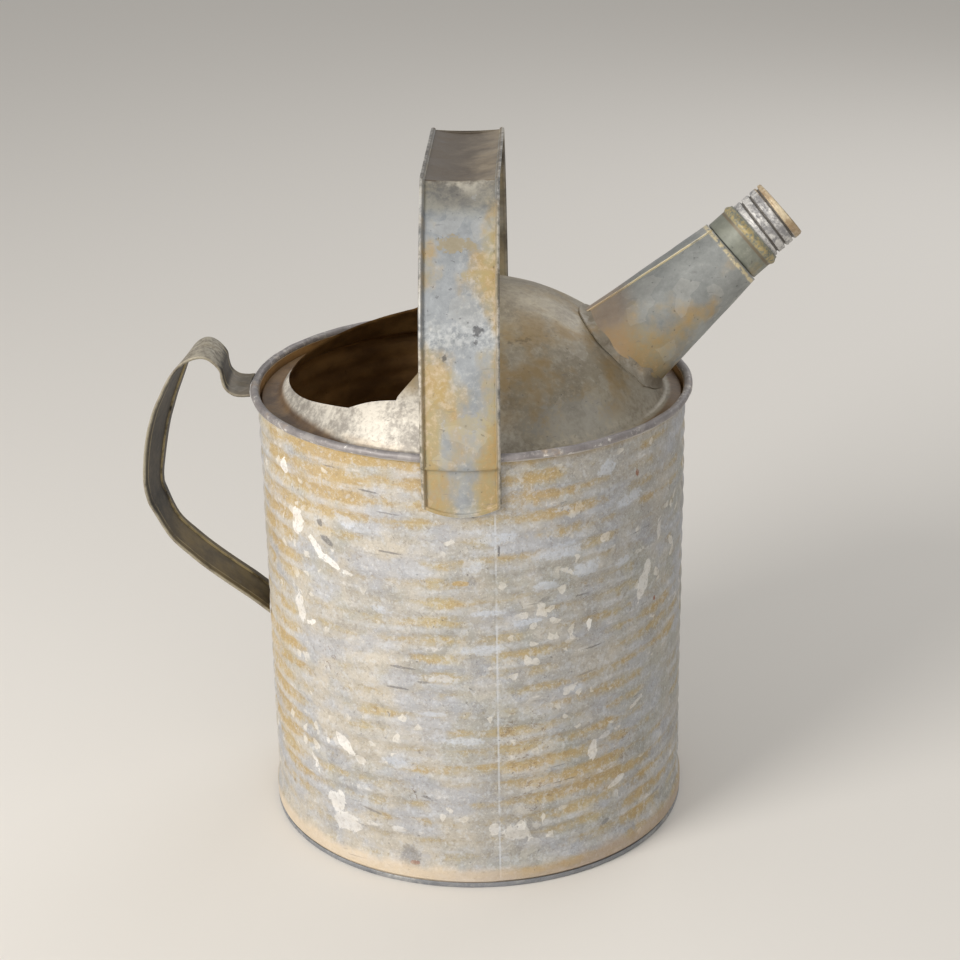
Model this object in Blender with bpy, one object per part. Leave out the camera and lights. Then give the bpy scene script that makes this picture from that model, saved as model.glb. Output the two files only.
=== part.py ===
# A small galvanised watering can, soldered up from sheet metal, with its rose missing.
# Metres, +Z up. Shapes are built round the can's own axis, and then moved along X, so that
# the origin lies on the ground under the middle of the whole object, spout and handle included.
# The spout points to +X, the rear handle to -X, and the carrying handle crosses along Y.
import math
import bpy
import bmesh
from mathutils import Vector, Matrix

# sheet and fits
SHEET = 0.0007
GAP = 0.0003
CAN_AXIS_X = 0.00132
ROUND_STEPS = 36
SMALL_STEPS = 24

# wall
RIM_RADIUS = 0.1000
RIM_CURL_RADIUS = 0.00185
RIM_CURL_Z = 0.2068
WALL_RADIUS_TOP = 0.0970
WALL_RADIUS_FOOT = 0.0963
RIB_PITCH = 0.00902
RIB_COUNT = 20
RIB_DEPTH = 0.0008
FIRST_RIB_Z = 0.0192
RIB_LEAN = 0.00475
LAP_AZIMUTH = -83.0
LAP_EDGE = 0.4
LAP_STEP = 0.00045
LAP_TOP_Z = 0.1760
FLARE_RADIUS = 0.0979
FLARE_Z = 0.0048

# base
BASE_RECESS = 0.0030
BASE_LEG_RADIUS = 0.0943
BASE_SEAM_RADIUS = 0.0975
BASE_SEAM_HEIGHT = 0.0023

# hood
DOME_TOP_Z = 0.2532
DOME_RADIUS = 0.1010
CHANNEL_Z = 0.2032
CHANNEL_FILLET = 0.0030
HOOD_LIP = 0.0038
MOUTH_REAR_CENTRE = -0.0095
MOUTH_REAR_RADIUS = 0.0730
MOUTH_FRONT_CENTRE = -0.0710
MOUTH_FRONT_RADIUS = 0.0785
MOUTH_CORNER_X = -0.0505
MOUTH_STEP_X = -0.0290
MOUTH_STEP = 0.0010
MOUTH_FRONT_END = 25.0
MOUTH_FAR_BEND = ((-0.0020, 0.0440), (-0.0075, 0.0560), (-0.0170, 0.0662), (-0.0277, 0.0700))
MOUTH_FAR_X = -0.0345

# spout
SPOUT_FOOT = (0.0670, -0.0015, 0.2218)
SPOUT_RISE = 40.3
SPOUT_YAW = 9.2
SPOUT_FOOT_RADIUS = 0.02285
SPOUT_END_RADIUS = 0.0156
SPOUT_TUBE_LENGTH = 0.0655
POUR_HOLE_RADIUS = 0.0165
COLLAR_RADIUS = 0.0154
COLLAR_PLUG = 0.0050
COLLAR_LENGTH = 0.0134
BEAD_RADIUS = 0.0161
BEAD_WIDTH = 0.0032
BEAD_FROM_END = 0.0022
NECK_LENGTH = 0.0159
NECK_SKIRT = 0.0080
NECK_BORE = 0.0120
THREAD_RADIUS = 0.01435
THREAD_DEPTH = 0.0011
THREAD_PITCH = 0.0045

# carrying handle
STRAP_WIDTH = 0.0334
STRAP_SHIFT = -0.0014
STRAP_ROLL = 0.0021
HOOP_TOP_Z = 0.3116
HOOP_HALF_SPAN = 0.0482
HOOP_FOOT_LEAN = 6.0
HOOP_FOLD_RADIUS = 0.0035
HOOP_TOP_ROLL = 0.4
HOOP_NEAR_DISH = 0.0040
HOOP_FAR_DISH = 0.0022
TAB_END_Z = 0.1809
TAB_END_CURVE = 0.0040

# rear handle
REAR_WIDTH = 0.0290
REAR_TURN = 2.0
REAR_HEM = 0.0042
# distance out, height, and how far the far edge is twisted inwards
REAR_PATH = (
    (0.1060, 0.2074, 0.0), (0.1098, 0.2108, 0.0), (0.1108, 0.2165, 0.0), (0.1142, 0.2220, 0.0),
    (0.1203, 0.2253, 0.0002), (0.1275, 0.2233, 0.0020), (0.1340, 0.2173, 0.0046),
    (0.1402, 0.2068, 0.0064), (0.1456, 0.1940, 0.0070), (0.1492, 0.1785, 0.0064),
    (0.1502, 0.1650, 0.0050), (0.1476, 0.1530, 0.0022), (0.1405, 0.1395, 0.0003),
    (0.1245, 0.1225, 0.0),
)
REAR_RIM_Z = 0.2070
REAR_WALL_Z = 0.0990


def clear_scene():
    for old in list(bpy.data.objects):
        bpy.data.objects.remove(old, do_unlink=True)


def metal(name, colour, roughness, metallic):
    mat = bpy.data.materials.new(name)
    mat.use_nodes = True
    shader = mat.node_tree.nodes["Principled BSDF"]
    shader.inputs["Base Color"].default_value = (*colour, 1.0)
    shader.inputs["Roughness"].default_value = roughness
    shader.inputs["Metallic"].default_value = metallic
    return mat


def finish(name, bm, mat, sharp=35.0):
    bmesh.ops.remove_doubles(bm, verts=bm.verts, dist=1e-6)
    bmesh.ops.recalc_face_normals(bm, faces=bm.faces)
    mesh = bpy.data.meshes.new(name)
    bm.to_mesh(mesh)
    bm.free()
    mesh.materials.append(mat)
    mesh.shade_smooth()
    mesh.set_sharp_from_angle(angle=math.radians(sharp))
    obj = bpy.data.objects.new(name, mesh)
    bpy.context.scene.collection.objects.link(obj)
    return obj


def cutter(name, bm):
    # a shape that only cuts: it is drawn as wire and never rendered
    obj = finish(name, bm, metal(name, (0.8, 0.2, 0.2), 0.5, 0.0))
    obj.hide_render = True
    obj.display_type = "WIRE"
    return obj


def cut(obj, tool):
    mod = obj.modifiers.new("cut_" + tool.name, "BOOLEAN")
    mod.operation = "DIFFERENCE"
    mod.solver = "EXACT"
    mod.object = tool


def turned(profile, steps, start=0.0):
    # spins a closed section, or one that starts and ends on the axis, round Z
    bm = bmesh.new()
    a = math.radians(start)
    verts = [bm.verts.new((r * math.cos(a), r * math.sin(a), z)) for r, z in profile]
    edges = [bm.edges.new(pair) for pair in zip(verts, verts[1:])]
    if profile[0][0] > 1e-6:
        edges.append(bm.edges.new((verts[-1], verts[0])))
    bmesh.ops.spin(bm, geom=verts + edges, cent=(0, 0, 0), axis=(0, 0, 1), angle=math.tau,
                   steps=steps, use_merge=True)
    return bm


def ring_grid(rings):
    # joins closed rings of equal length into a closed tube that ends where it began
    bm = bmesh.new()
    rows = [[bm.verts.new(p) for p in ring] for ring in rings]
    for i, row in enumerate(rows):
        after = rows[(i + 1) % len(rows)]
        for j in range(len(row)):
            k = (j + 1) % len(row)
            bm.faces.new((row[j], row[k], after[k], after[j]))
    return bm


def strap_loft(sections):
    # joins the sections of a strap and closes both of its ends
    bm = bmesh.new()
    rows = [[bm.verts.new(p) for p in section] for section in sections]
    for row, after in zip(rows, rows[1:]):
        for j in range(len(row)):
            k = (j + 1) % len(row)
            bm.faces.new((row[j], row[k], after[k], after[j]))
    half = len(rows[0]) // 2
    for row in (rows[0], rows[-1]):
        for j in range(half - 1):
            bm.faces.new((row[j], row[j + 1], row[-2 - j], row[-1 - j]))
    return bm


def arc(cx, cz, radius, start, end, steps):
    points = []
    for i in range(steps + 1):
        a = math.radians(start + (end - start) * i / steps)
        points.append((cx + radius * math.cos(a), cz + radius * math.sin(a)))
    return points


def wall_radius(z):
    # outer radius of the wall over the crests of its ribs
    share = z / RIM_CURL_Z
    return WALL_RADIUS_FOOT + (WALL_RADIUS_TOP - WALL_RADIUS_FOOT) * share


def wall_rows():
    # the wall's outer face from foot to curl: radius, height, share of the ribs, raised by the lap
    foot = BASE_SEAM_RADIUS - SHEET - GAP
    rows = [
        (foot, SHEET + GAP, 0.0, False),
        (foot, BASE_SEAM_HEIGHT + GAP, 0.0, False),
        (FLARE_RADIUS - 0.0002, FLARE_Z - 0.0013, 0.0, False),
        (FLARE_RADIUS, FLARE_Z + 0.0010, 0.0, False),
    ]
    for i in range(RIB_COUNT):
        z = FIRST_RIB_Z + i * RIB_PITCH
        rows.append((wall_radius(z) - RIB_DEPTH, z - RIB_PITCH / 2, 1.0, True))
        rows.append((wall_radius(z), z, 1.0, True))
    z = FIRST_RIB_Z + (RIB_COUNT - 0.5) * RIB_PITCH
    rows.append((wall_radius(z) - RIB_DEPTH / 2, z, 1.0, False))
    return rows


def wall_columns():
    # azimuth, share of the ribs and share of the lap's raise; the outer sheet ends at the lap's edge
    step = 360.0 / ROUND_STEPS
    columns = [(LAP_AZIMUTH - i * step, 1.0, 0.0) for i in range(ROUND_STEPS)]
    columns[0] = (LAP_AZIMUTH, 0.0, 1.0)
    columns[1] = (LAP_AZIMUTH - step, 0.0, 1.0)
    return [(LAP_AZIMUTH + LAP_EDGE, 0.4, 0.0)] + columns


def make_body_wall():
    # one sheet: foot flange, flare, ribs and a rim curled outwards over most of a turn
    centre = RIM_RADIUS - RIM_CURL_RADIUS
    curl_inside = arc(centre, RIM_CURL_Z, RIM_CURL_RADIUS - SHEET, 180, -110, 6)
    curl_outside = arc(centre, RIM_CURL_Z, RIM_CURL_RADIUS, 180, -110, 6)
    sections = []
    for azimuth, ribs, lap in wall_columns():
        a = math.radians(azimuth)
        outside = []
        inside = []
        for r, z, ribbed, lapped in wall_rows():
            if lapped:
                middle = wall_radius(z) - RIB_DEPTH / 2
                r = middle + (r - middle) * ribs
            high = z + RIB_LEAN * math.cos(a) * ribbed
            raised = LAP_STEP * lap if lapped and z < LAP_TOP_Z else 0.0
            outside.append((r + raised, high))
            inside.append((r - SHEET, high))
        loop = outside + curl_inside + (inside + curl_outside)[::-1]
        sections.append([(r * math.cos(a), r * math.sin(a), z) for r, z in loop])
    mat = metal("galvanised_wall", (0.52, 0.50, 0.44), 0.55, 0.6)
    return finish("body_wall", ring_grid(sections), mat, 50.0)


def make_bottom_plate():
    # a recessed disc whose edge drops to the ground and folds up round the wall's foot
    leg = BASE_LEG_RADIUS
    profile = [
        (0.0, BASE_RECESS), (leg - SHEET, BASE_RECESS), (leg - SHEET, 0.0),
        (BASE_SEAM_RADIUS - 0.0003, 0.0), (BASE_SEAM_RADIUS, 0.0004),
        (BASE_SEAM_RADIUS, BASE_SEAM_HEIGHT), (BASE_SEAM_RADIUS - SHEET, BASE_SEAM_HEIGHT),
        (BASE_SEAM_RADIUS - SHEET, SHEET), (leg, SHEET), (leg, BASE_RECESS + SHEET),
        (0.0, BASE_RECESS + SHEET),
    ]
    mat = metal("galvanised_base", (0.42, 0.42, 0.40), 0.6, 0.6)
    return finish("bottom_plate", turned(profile, ROUND_STEPS, LAP_AZIMUTH), mat)


def hood_profile(lift):
    # the hood's top line from the middle out to its channel, lifted square to itself
    centre_z = DOME_TOP_Z - DOME_RADIUS
    fillet_z = CHANNEL_Z + CHANNEL_FILLET
    reach = DOME_RADIUS + CHANNEL_FILLET
    fillet_r = math.sqrt(reach ** 2 - (fillet_z - centre_z) ** 2)
    meet = math.degrees(math.atan2(fillet_z - centre_z, fillet_r))
    points = arc(0.0, centre_z, DOME_RADIUS + lift, 90, meet, 8)
    points[0] = (0.0, points[0][1])
    points += arc(fillet_r, fillet_z, CHANNEL_FILLET - lift, 180 + meet, 270, 2)[1:]
    return points


def make_hood():
    # dome, fillet, sunk channel and a lip turned down inside the wall
    lip_radius = wall_radius(CHANNEL_Z) - RIB_DEPTH / 2 - SHEET - GAP
    top = hood_profile(0.0) + [(lip_radius - 0.0008, CHANNEL_Z), (lip_radius, CHANNEL_Z - 0.0008),
                               (lip_radius, CHANNEL_Z - HOOD_LIP)]
    under = hood_profile(-SHEET) + [(lip_radius - 0.0008 - SHEET / 2, CHANNEL_Z - SHEET),
                                    (lip_radius - SHEET, CHANNEL_Z - 0.0008 - SHEET / 2),
                                    (lip_radius - SHEET, CHANNEL_Z - HOOD_LIP)]
    mat = metal("galvanised_hood", (0.40, 0.38, 0.32), 0.5, 0.65)
    hood = finish("hood", turned(top + under[::-1], ROUND_STEPS, LAP_AZIMUTH), mat)
    cut(hood, mouth_cutter())
    cut(hood, pour_cutter())
    return hood


def mouth_outline():
    # a rear arc, a straight clip and a small step on the near side, a front arc, and a far bend
    corner = math.degrees(math.acos((MOUTH_CORNER_X - MOUTH_REAR_CENTRE) / MOUTH_REAR_RADIUS))
    far = math.degrees(math.acos((MOUTH_FAR_X - MOUTH_REAR_CENTRE) / MOUTH_REAR_RADIUS))
    step = math.degrees(math.acos((MOUTH_STEP_X - MOUTH_FRONT_CENTRE) / MOUTH_FRONT_RADIUS))
    step_y = MOUTH_FRONT_RADIUS * math.sin(math.radians(step))
    outline = arc(MOUTH_REAR_CENTRE, 0.0, MOUTH_REAR_RADIUS, far, 360 - corner, 16)
    outline.append((MOUTH_STEP_X - MOUTH_STEP / 2, -step_y - MOUTH_STEP))
    outline += arc(MOUTH_FRONT_CENTRE, 0.0, MOUTH_FRONT_RADIUS, -step, MOUTH_FRONT_END, 11)
    return outline + list(MOUTH_FAR_BEND)


def mouth_cutter():
    bm = bmesh.new()
    clear = 0.02
    low = [bm.verts.new((x, y, CHANNEL_Z - clear)) for x, y in mouth_outline()]
    face = bm.faces.new(low)
    raised = bmesh.ops.extrude_face_region(bm, geom=[face])
    up = [v for v in raised["geom"] if isinstance(v, bmesh.types.BMVert)]
    bmesh.ops.translate(bm, verts=up, vec=(0, 0, DOME_TOP_Z - CHANNEL_Z + 2 * clear))
    return cutter("mouth_cutter", bm)


def spout_frame():
    # places the spout's own axis, which is +Z before this
    lift = Matrix.Rotation(math.radians(90 - SPOUT_RISE), 4, "Y")
    yaw = Matrix.Rotation(math.radians(SPOUT_YAW), 4, "Z")
    return Matrix.Translation(Vector(SPOUT_FOOT)) @ yaw @ lift


def pour_cutter():
    bm = bmesh.new()
    bmesh.ops.create_cone(bm, cap_ends=True, segments=24, radius1=POUR_HOLE_RADIUS,
                          radius2=POUR_HOLE_RADIUS, depth=0.07)
    tool = cutter("pour_cutter", bm)
    tool.matrix_world = spout_frame()
    return tool


def make_spout_tube():
    # a tapered tube that runs down to the dome and is cut to it
    slope = (SPOUT_END_RADIUS - SPOUT_FOOT_RADIUS) / SPOUT_TUBE_LENGTH
    low = -0.030
    start = SPOUT_FOOT_RADIUS + slope * low
    profile = [(start, low), (SPOUT_END_RADIUS, SPOUT_TUBE_LENGTH),
               (SPOUT_END_RADIUS - SHEET, SPOUT_TUBE_LENGTH), (start - SHEET, low)]
    mat = metal("galvanised_spout", (0.46, 0.46, 0.42), 0.5, 0.65)
    tube = finish("spout_tube", turned(profile, ROUND_STEPS), mat)
    tube.matrix_world = spout_frame()
    skin = hood_profile(GAP)
    low = CHANNEL_Z - 0.06
    solid = [(0.0, low), (RIM_RADIUS, low), (RIM_RADIUS, skin[-1][1])] + skin[::-1]
    cut(tube, cutter("dome_cutter", turned(solid, ROUND_STEPS, LAP_AZIMUTH)))
    return tube


def make_spout_collar():
    # a sleeve with a plug that goes inside the tube, and a rolled bead near its open end
    plug = SPOUT_END_RADIUS - SHEET - GAP
    base = SPOUT_TUBE_LENGTH + GAP
    end = base + COLLAR_LENGTH
    bead = end - BEAD_FROM_END
    half = BEAD_WIDTH / 2
    swell = BEAD_RADIUS - COLLAR_RADIUS
    outer = [(plug, base - COLLAR_PLUG - GAP), (plug, base), (COLLAR_RADIUS, base),
             (COLLAR_RADIUS, bead - half), (COLLAR_RADIUS + swell * 0.8, bead - half * 0.5),
             (BEAD_RADIUS, bead), (COLLAR_RADIUS + swell * 0.8, bead + half * 0.5),
             (COLLAR_RADIUS, bead + half), (COLLAR_RADIUS, end)]
    inner = [(plug - SHEET, base - COLLAR_PLUG - GAP), (plug - SHEET, base + SHEET),
             (COLLAR_RADIUS - SHEET, base + 2 * SHEET), (COLLAR_RADIUS - SHEET, end)]
    mat = metal("galvanised_collar", (0.42, 0.41, 0.36), 0.5, 0.65)
    collar = finish("spout_collar", turned(outer + inner[::-1], SMALL_STEPS), mat)
    collar.matrix_world = spout_frame()
    return collar


def make_threaded_neck():
    # a cast ring: a plain skirt inside the collar and a screw thread that runs out at both ends
    skirt = COLLAR_RADIUS - SHEET - GAP
    seat = SPOUT_TUBE_LENGTH + GAP + COLLAR_LENGTH
    low = seat - NECK_SKIRT
    shoulder = seat + 0.0012
    top = seat + NECK_LENGTH - GAP
    root = THREAD_RADIUS - THREAD_DEPTH
    rows = round((top - shoulder) / THREAD_PITCH * 4)
    sections = []
    for i in range(SMALL_STEPS):
        a = math.tau * i / SMALL_STEPS
        loop = [(NECK_BORE, low), (skirt, low), (skirt, shoulder - 0.0004)]
        for j in range(rows + 1):
            z = shoulder + (top - 0.0006 - shoulder) * j / rows
            turn = (z - shoulder) / THREAD_PITCH - a / math.tau
            wave = 0.5 - 0.5 * math.cos(math.tau * turn)
            fade = min(1.0, (z - shoulder) / THREAD_PITCH * 2, (top - 0.0006 - z) / THREAD_PITCH * 3 + 0.5)
            loop.append((root + THREAD_DEPTH * wave ** 0.7 * fade, z))
        loop += [(root - 0.0003, top), (NECK_BORE + 0.0004, top), (NECK_BORE, top - 0.0006)]
        sections.append([(r * math.cos(a), r * math.sin(a), z) for r, z in loop])
    mat = metal("zinc_thread", (0.62, 0.61, 0.58), 0.5, 0.5)
    neck = finish("threaded_neck", ring_grid(sections), mat, 60.0)
    neck.matrix_world = spout_frame()
    return neck


def strap_section():
    # flat inside, with rolled edges standing up outside: across the strap, then out of it
    half = STRAP_WIDTH / 2
    roll = STRAP_ROLL
    outer = [(half, roll * 0.3), (half - roll * 0.2, roll), (half - roll * 0.7, roll),
             (half - roll, SHEET), (half / 2, SHEET), (0.0, SHEET)]
    inner = [(half - 0.0004, 0.0), (half - roll * 0.4, 0.0), (half - roll * 0.7, 0.0),
             (half - roll, 0.0), (half / 2, 0.0), (0.0, 0.0)]
    top = outer + [(-u, v) for u, v in outer[-2::-1]]
    bottom = inner + [(-u, v) for u, v in inner[-2::-1]]
    return top, bottom


def hoop_path():
    # one half of the carrying handle from the tab's end to the top's middle:
    # distance out, height, lean, dish share, wrap share, end curve share, swell
    wall = wall_radius(TAB_END_Z) + GAP
    rim = RIM_RADIUS + GAP
    crease_low = RIM_CURL_Z - RIM_CURL_RADIUS - 0.0016
    path = [
        (wall, TAB_END_Z, 0.0, 0.0, 1.0, 1.0, 1.7),
        (wall, TAB_END_Z + 0.0018, 0.0, 0.0, 1.0, 1.0, 1.7),
        (wall, TAB_END_Z + 0.0030, 0.0, 0.0, 1.0, 1.0, 0.0),
        (wall, TAB_END_Z + 0.0110, 0.0, 0.0, 1.0, 0.3, 0.0),
        (wall, crease_low - 0.0012, 0.0, 0.0, 1.0, 0.0, 0.0),
        (wall + 0.0012, crease_low + 0.0006, -50.0, 0.0, 1.0, 0.0, 0.8),
        (rim - 0.0002, crease_low + 0.0022, -30.0, 0.0, 1.0, 0.0, 0.8),
        (rim, crease_low + 0.0036, 0.0, 0.0, 1.0, 0.0, 0.0),
    ]
    start_z = RIM_CURL_Z + RIM_CURL_RADIUS
    rise = HOOP_TOP_Z - start_z
    run = rim - HOOP_HALF_SPAN
    foot = math.radians(HOOP_FOOT_LEAN)
    head = 2 * math.atan2(run, rise) - foot
    radius = math.hypot(run, rise) / (2 * math.sin((head - foot) / 2))
    steps = 8
    back = HOOP_FOLD_RADIUS * math.tan((math.pi / 2 - head) / 2)
    stop = head - back / radius
    for i in range(steps + 1):
        a = foot + (stop - foot) * i / steps
        out = rim - radius * (math.cos(foot) - math.cos(a))
        high = start_z + radius * (math.sin(a) - math.sin(foot))
        dish = 0.35 * max(0.0, i / steps - 0.7) / 0.3
        path.append((out, high, math.degrees(a), dish, max(0.0, 1 - 2.2 * i / steps), 0.0, 0.0))
    out, high, lean = path[-1][:3]
    fold_z = HOOP_TOP_Z - HOOP_FOLD_RADIUS
    fold_out = out - HOOP_FOLD_RADIUS * math.cos(math.radians(lean))
    for i in range(1, 5):
        a = math.radians(lean + (90 - lean) * i / 4)
        path.append((fold_out + HOOP_FOLD_RADIUS * math.cos(a), fold_z + HOOP_FOLD_RADIUS * math.sin(a),
                     math.degrees(a), 0.35 + 0.65 * i / 4, 0.0, 0.0, 0.0))
    level = path[-1][0]
    for share in (0.75, 0.4):
        path.append((level * share, HOOP_TOP_Z, 90.0, 1.0, 0.0, 0.0, 0.0))
    return path


def make_carrying_handle():
    # the strap's section is swept up one leg, over the dished top and down the other
    top, bottom = strap_section()
    half = hoop_path()
    stations = [(-1, s) for s in half] + [(1, s) for s in half[::-1]]
    sections = []
    for side, (out, high, lean, dish, wrap, end, swell) in stations:
        a = math.radians(lean)
        normal = (math.cos(a), math.sin(a))
        tangent = (-math.sin(a), math.cos(a))
        ring = []
        for u, v in top + bottom[::-1]:
            share = (2 * u / STRAP_WIDTH) ** 2
            if v > 0 and swell > 0:
                v = max(v, SHEET * (1 + swell))
            if v > SHEET:
                v -= (v - SHEET) * (1 - HOOP_TOP_ROLL) * dish
            deep = HOOP_NEAR_DISH + (HOOP_FAR_DISH - HOOP_NEAR_DISH) * (0.5 + side * out / HOOP_HALF_SPAN / 2)
            sink = -min(deep, HOOP_NEAR_DISH) * dish * (1 - share)
            if wrap > 0:
                sink -= wrap * (out - math.sqrt(out ** 2 - u ** 2))
            slide = TAB_END_CURVE * end * share
            y = out + normal[0] * (v + sink) + tangent[0] * slide
            z = high + normal[1] * (v + sink) + tangent[1] * slide
            ring.append((STRAP_SHIFT + u, side * y, z))
        sections.append(ring)
    mat = metal("galvanised_strap", (0.50, 0.48, 0.42), 0.5, 0.65)
    return finish("carrying_handle", strap_loft(sections), mat)


def smooth_path(points, steps):
    # a smooth line through the points, with tangents from their neighbours
    line = []
    for i in range(len(points) - 1):
        p1, p2 = Vector(points[i]), Vector(points[i + 1])
        p0 = Vector(points[i - 1]) if i > 0 else 2 * p1 - p2
        p3 = Vector(points[i + 2]) if i + 2 < len(points) else 2 * p2 - p1
        for j in range(steps):
            t = j / steps
            line.append(0.5 * ((2 * p1) + (p2 - p0) * t + (2 * p0 - 5 * p1 + 4 * p2 - p3) * t * t
                               + (3 * p1 - p0 - 3 * p2 + p3) * t ** 3))
    line.append(Vector(points[-1]))
    return line


def make_rear_handle():
    # a hemmed strap bent along its path, with both ends cut to the round rim and wall
    half = REAR_WIDTH / 2
    fold = half - REAR_HEM
    hem = 2 * SHEET
    back = [(half, -hem * 0.35), (half - 0.0005, 0.0), (fold, 0.0), (0.0, 0.0)]
    front = [(half, -hem * 0.65), (half - 0.0005, -hem), (fold, -hem), (0.0, -SHEET)]
    section = back + [(-u, v) for u, v in back[-2::-1]]
    section += ([(u, v) for u, v in front] + [(-u, v) for u, v in front[-2::-1]])[::-1]
    rim = RIM_RADIUS + GAP
    wall = wall_radius(REAR_WALL_Z) + GAP
    line = smooth_path([(rim, REAR_RIM_Z, 0.0), *REAR_PATH, (wall, REAR_WALL_Z, 0.0)], 2)
    turn = Matrix.Rotation(math.radians(180 + REAR_TURN), 4, "Z")
    sections = []
    for i, p in enumerate(line):
        before = line[max(i - 1, 0)]
        after = line[min(i + 1, len(line) - 1)]
        tangent = (after - before).to_2d().normalized()
        normal = Vector((-tangent.y, tangent.x))
        end = {0: rim, len(line) - 1: wall}.get(i)
        ring = []
        for u, v in section:
            q = p.to_2d() + normal * (v - p.z * (half - u) / REAR_WIDTH)
            if end:
                target = math.sqrt(end ** 2 - u ** 2)
                q = q + tangent * ((target - q.x) / tangent.x)
            ring.append(turn @ Vector((q.x, u, q.y)))
        sections.append(ring)
    mat = metal("galvanised_rear", (0.36, 0.34, 0.28), 0.55, 0.6)
    return finish("rear_handle", strap_loft(sections), mat)


def build():
    clear_scene()
    make_body_wall()
    make_bottom_plate()
    make_hood()
    make_spout_tube()
    make_spout_collar()
    make_threaded_neck()
    make_carrying_handle()
    make_rear_handle()
    for obj in bpy.data.objects:
        obj.location.x += CAN_AXIS_X


build()
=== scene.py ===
import math
import bpy
import bmesh
import numpy as np
from mathutils import Matrix, Vector, noise


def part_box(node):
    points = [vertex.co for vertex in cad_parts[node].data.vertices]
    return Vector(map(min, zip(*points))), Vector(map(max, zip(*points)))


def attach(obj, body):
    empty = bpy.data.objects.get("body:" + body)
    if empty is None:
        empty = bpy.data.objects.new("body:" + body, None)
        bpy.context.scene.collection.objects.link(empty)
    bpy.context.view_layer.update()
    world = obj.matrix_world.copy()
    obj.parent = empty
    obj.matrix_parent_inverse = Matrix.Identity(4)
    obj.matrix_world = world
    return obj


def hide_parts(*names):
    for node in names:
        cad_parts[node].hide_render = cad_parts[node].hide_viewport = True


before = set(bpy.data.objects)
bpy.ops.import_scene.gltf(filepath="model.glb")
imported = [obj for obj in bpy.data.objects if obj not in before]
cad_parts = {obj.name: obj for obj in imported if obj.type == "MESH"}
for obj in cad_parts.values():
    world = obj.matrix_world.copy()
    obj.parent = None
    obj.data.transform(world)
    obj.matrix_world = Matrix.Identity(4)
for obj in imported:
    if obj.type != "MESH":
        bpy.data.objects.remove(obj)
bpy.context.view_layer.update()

mm = 0.001

# the round pieces share one upright axis, which the base plate gives
baseLow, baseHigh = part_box("bottom_plate")
canAxis = Vector(((baseLow[0] + baseHigh[0]) / 2, (baseLow[1] + baseHigh[1]) / 2, 0.0))
wallFace = 97.0           # the wall's mean outer radius in millimetres


# a socket that takes part in sums: every operator adds its node to the tree
class Wire:
    def __init__(self, tree, socket=None):
        self.tree = tree
        self.socket = socket

    def node(self, kind, settings=None, sockets=None, out=0):
        made = self.tree.nodes.new(kind)
        for key, value in (settings or {}).items():
            setattr(made, key, value)
        for key, value in (sockets or {}).items():
            if isinstance(value, Wire):
                self.tree.links.new(value.socket, made.inputs[key])
            else:
                made.inputs[key].default_value = value
        return Wire(self.tree, made.outputs[out] if len(made.outputs) else None)

    def part(self, out):
        return Wire(self.tree, self.socket.node.outputs[out])

    def math(self, operation, other=0.0, third=0.0):
        return self.node("ShaderNodeMath", {"operation": operation}, {0: self, 1: other, 2: third})

    def __add__(self, other):
        return self.math("ADD", other)

    def __radd__(self, other):
        return self.math("ADD", other)

    def __sub__(self, other):
        return self.math("SUBTRACT", other)

    def __rsub__(self, other):
        return self.node("ShaderNodeMath", {"operation": "SUBTRACT"}, {0: other, 1: self})

    def __mul__(self, other):
        return self.math("MULTIPLY", other)

    def __rmul__(self, other):
        return self.math("MULTIPLY", other)

    def __truediv__(self, other):
        return self.math("DIVIDE", other)

    def step(self, low, high):
        # smooth step from 0 at low to 1 at high
        settings = {"interpolation_type": "SMOOTHSTEP"}
        if low < high:
            return self.node("ShaderNodeMapRange", settings, {0: self, 1: low, 2: high, 3: 0.0, 4: 1.0})
        return self.node("ShaderNodeMapRange", settings, {0: self, 1: high, 2: low, 3: 1.0, 4: 0.0})

    def vector(self, operation, other, out=0):
        return self.node("ShaderNodeVectorMath", {"operation": operation}, {0: self, 1: other}, out)

    def size(self):
        return self.node("ShaderNodeVectorMath", {"operation": "LENGTH"}, {0: self}, out="Value")

    def axes(self):
        split = self.node("ShaderNodeSeparateXYZ", {}, {0: self})
        return split.part("X"), split.part("Y"), split.part("Z")

    def blend(self, under, over):
        # this value is the factor between two colours: each is a socket, a tone's name or red, green and blue
        under, over = (side if isinstance(side, Wire) else rgb(side) for side in (under, over))
        return self.node("ShaderNodeMix", {"data_type": "RGBA"}, {0: self, 6: under, 7: over}, out=2)


def rgb(tone):
    # a tone's name or screen colour to the linear colour that the nodes take
    def linear(value):
        value /= 255.0
        return value / 12.92 if value <= 0.04045 else ((value + 0.055) / 1.055) ** 2.4
    return (*map(linear, tones.get(tone, tone)), 1.0)


# plain mesh tools

def makeObject(name, bm, material, sharp=40.0, recalc=True):
    bmesh.ops.remove_doubles(bm, verts=bm.verts, dist=1e-6)
    if recalc:
        bmesh.ops.recalc_face_normals(bm, faces=bm.faces)
    mesh = bpy.data.meshes.new(name)
    bm.to_mesh(mesh)
    bm.free()
    mesh.transform(Matrix.Translation(canAxis))
    mesh.materials.append(material)
    mesh.shade_smooth()
    mesh.set_sharp_from_angle(angle=math.radians(sharp))
    obj = bpy.data.objects.new(name, mesh)
    bpy.context.scene.collection.objects.link(obj)
    return obj


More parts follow.
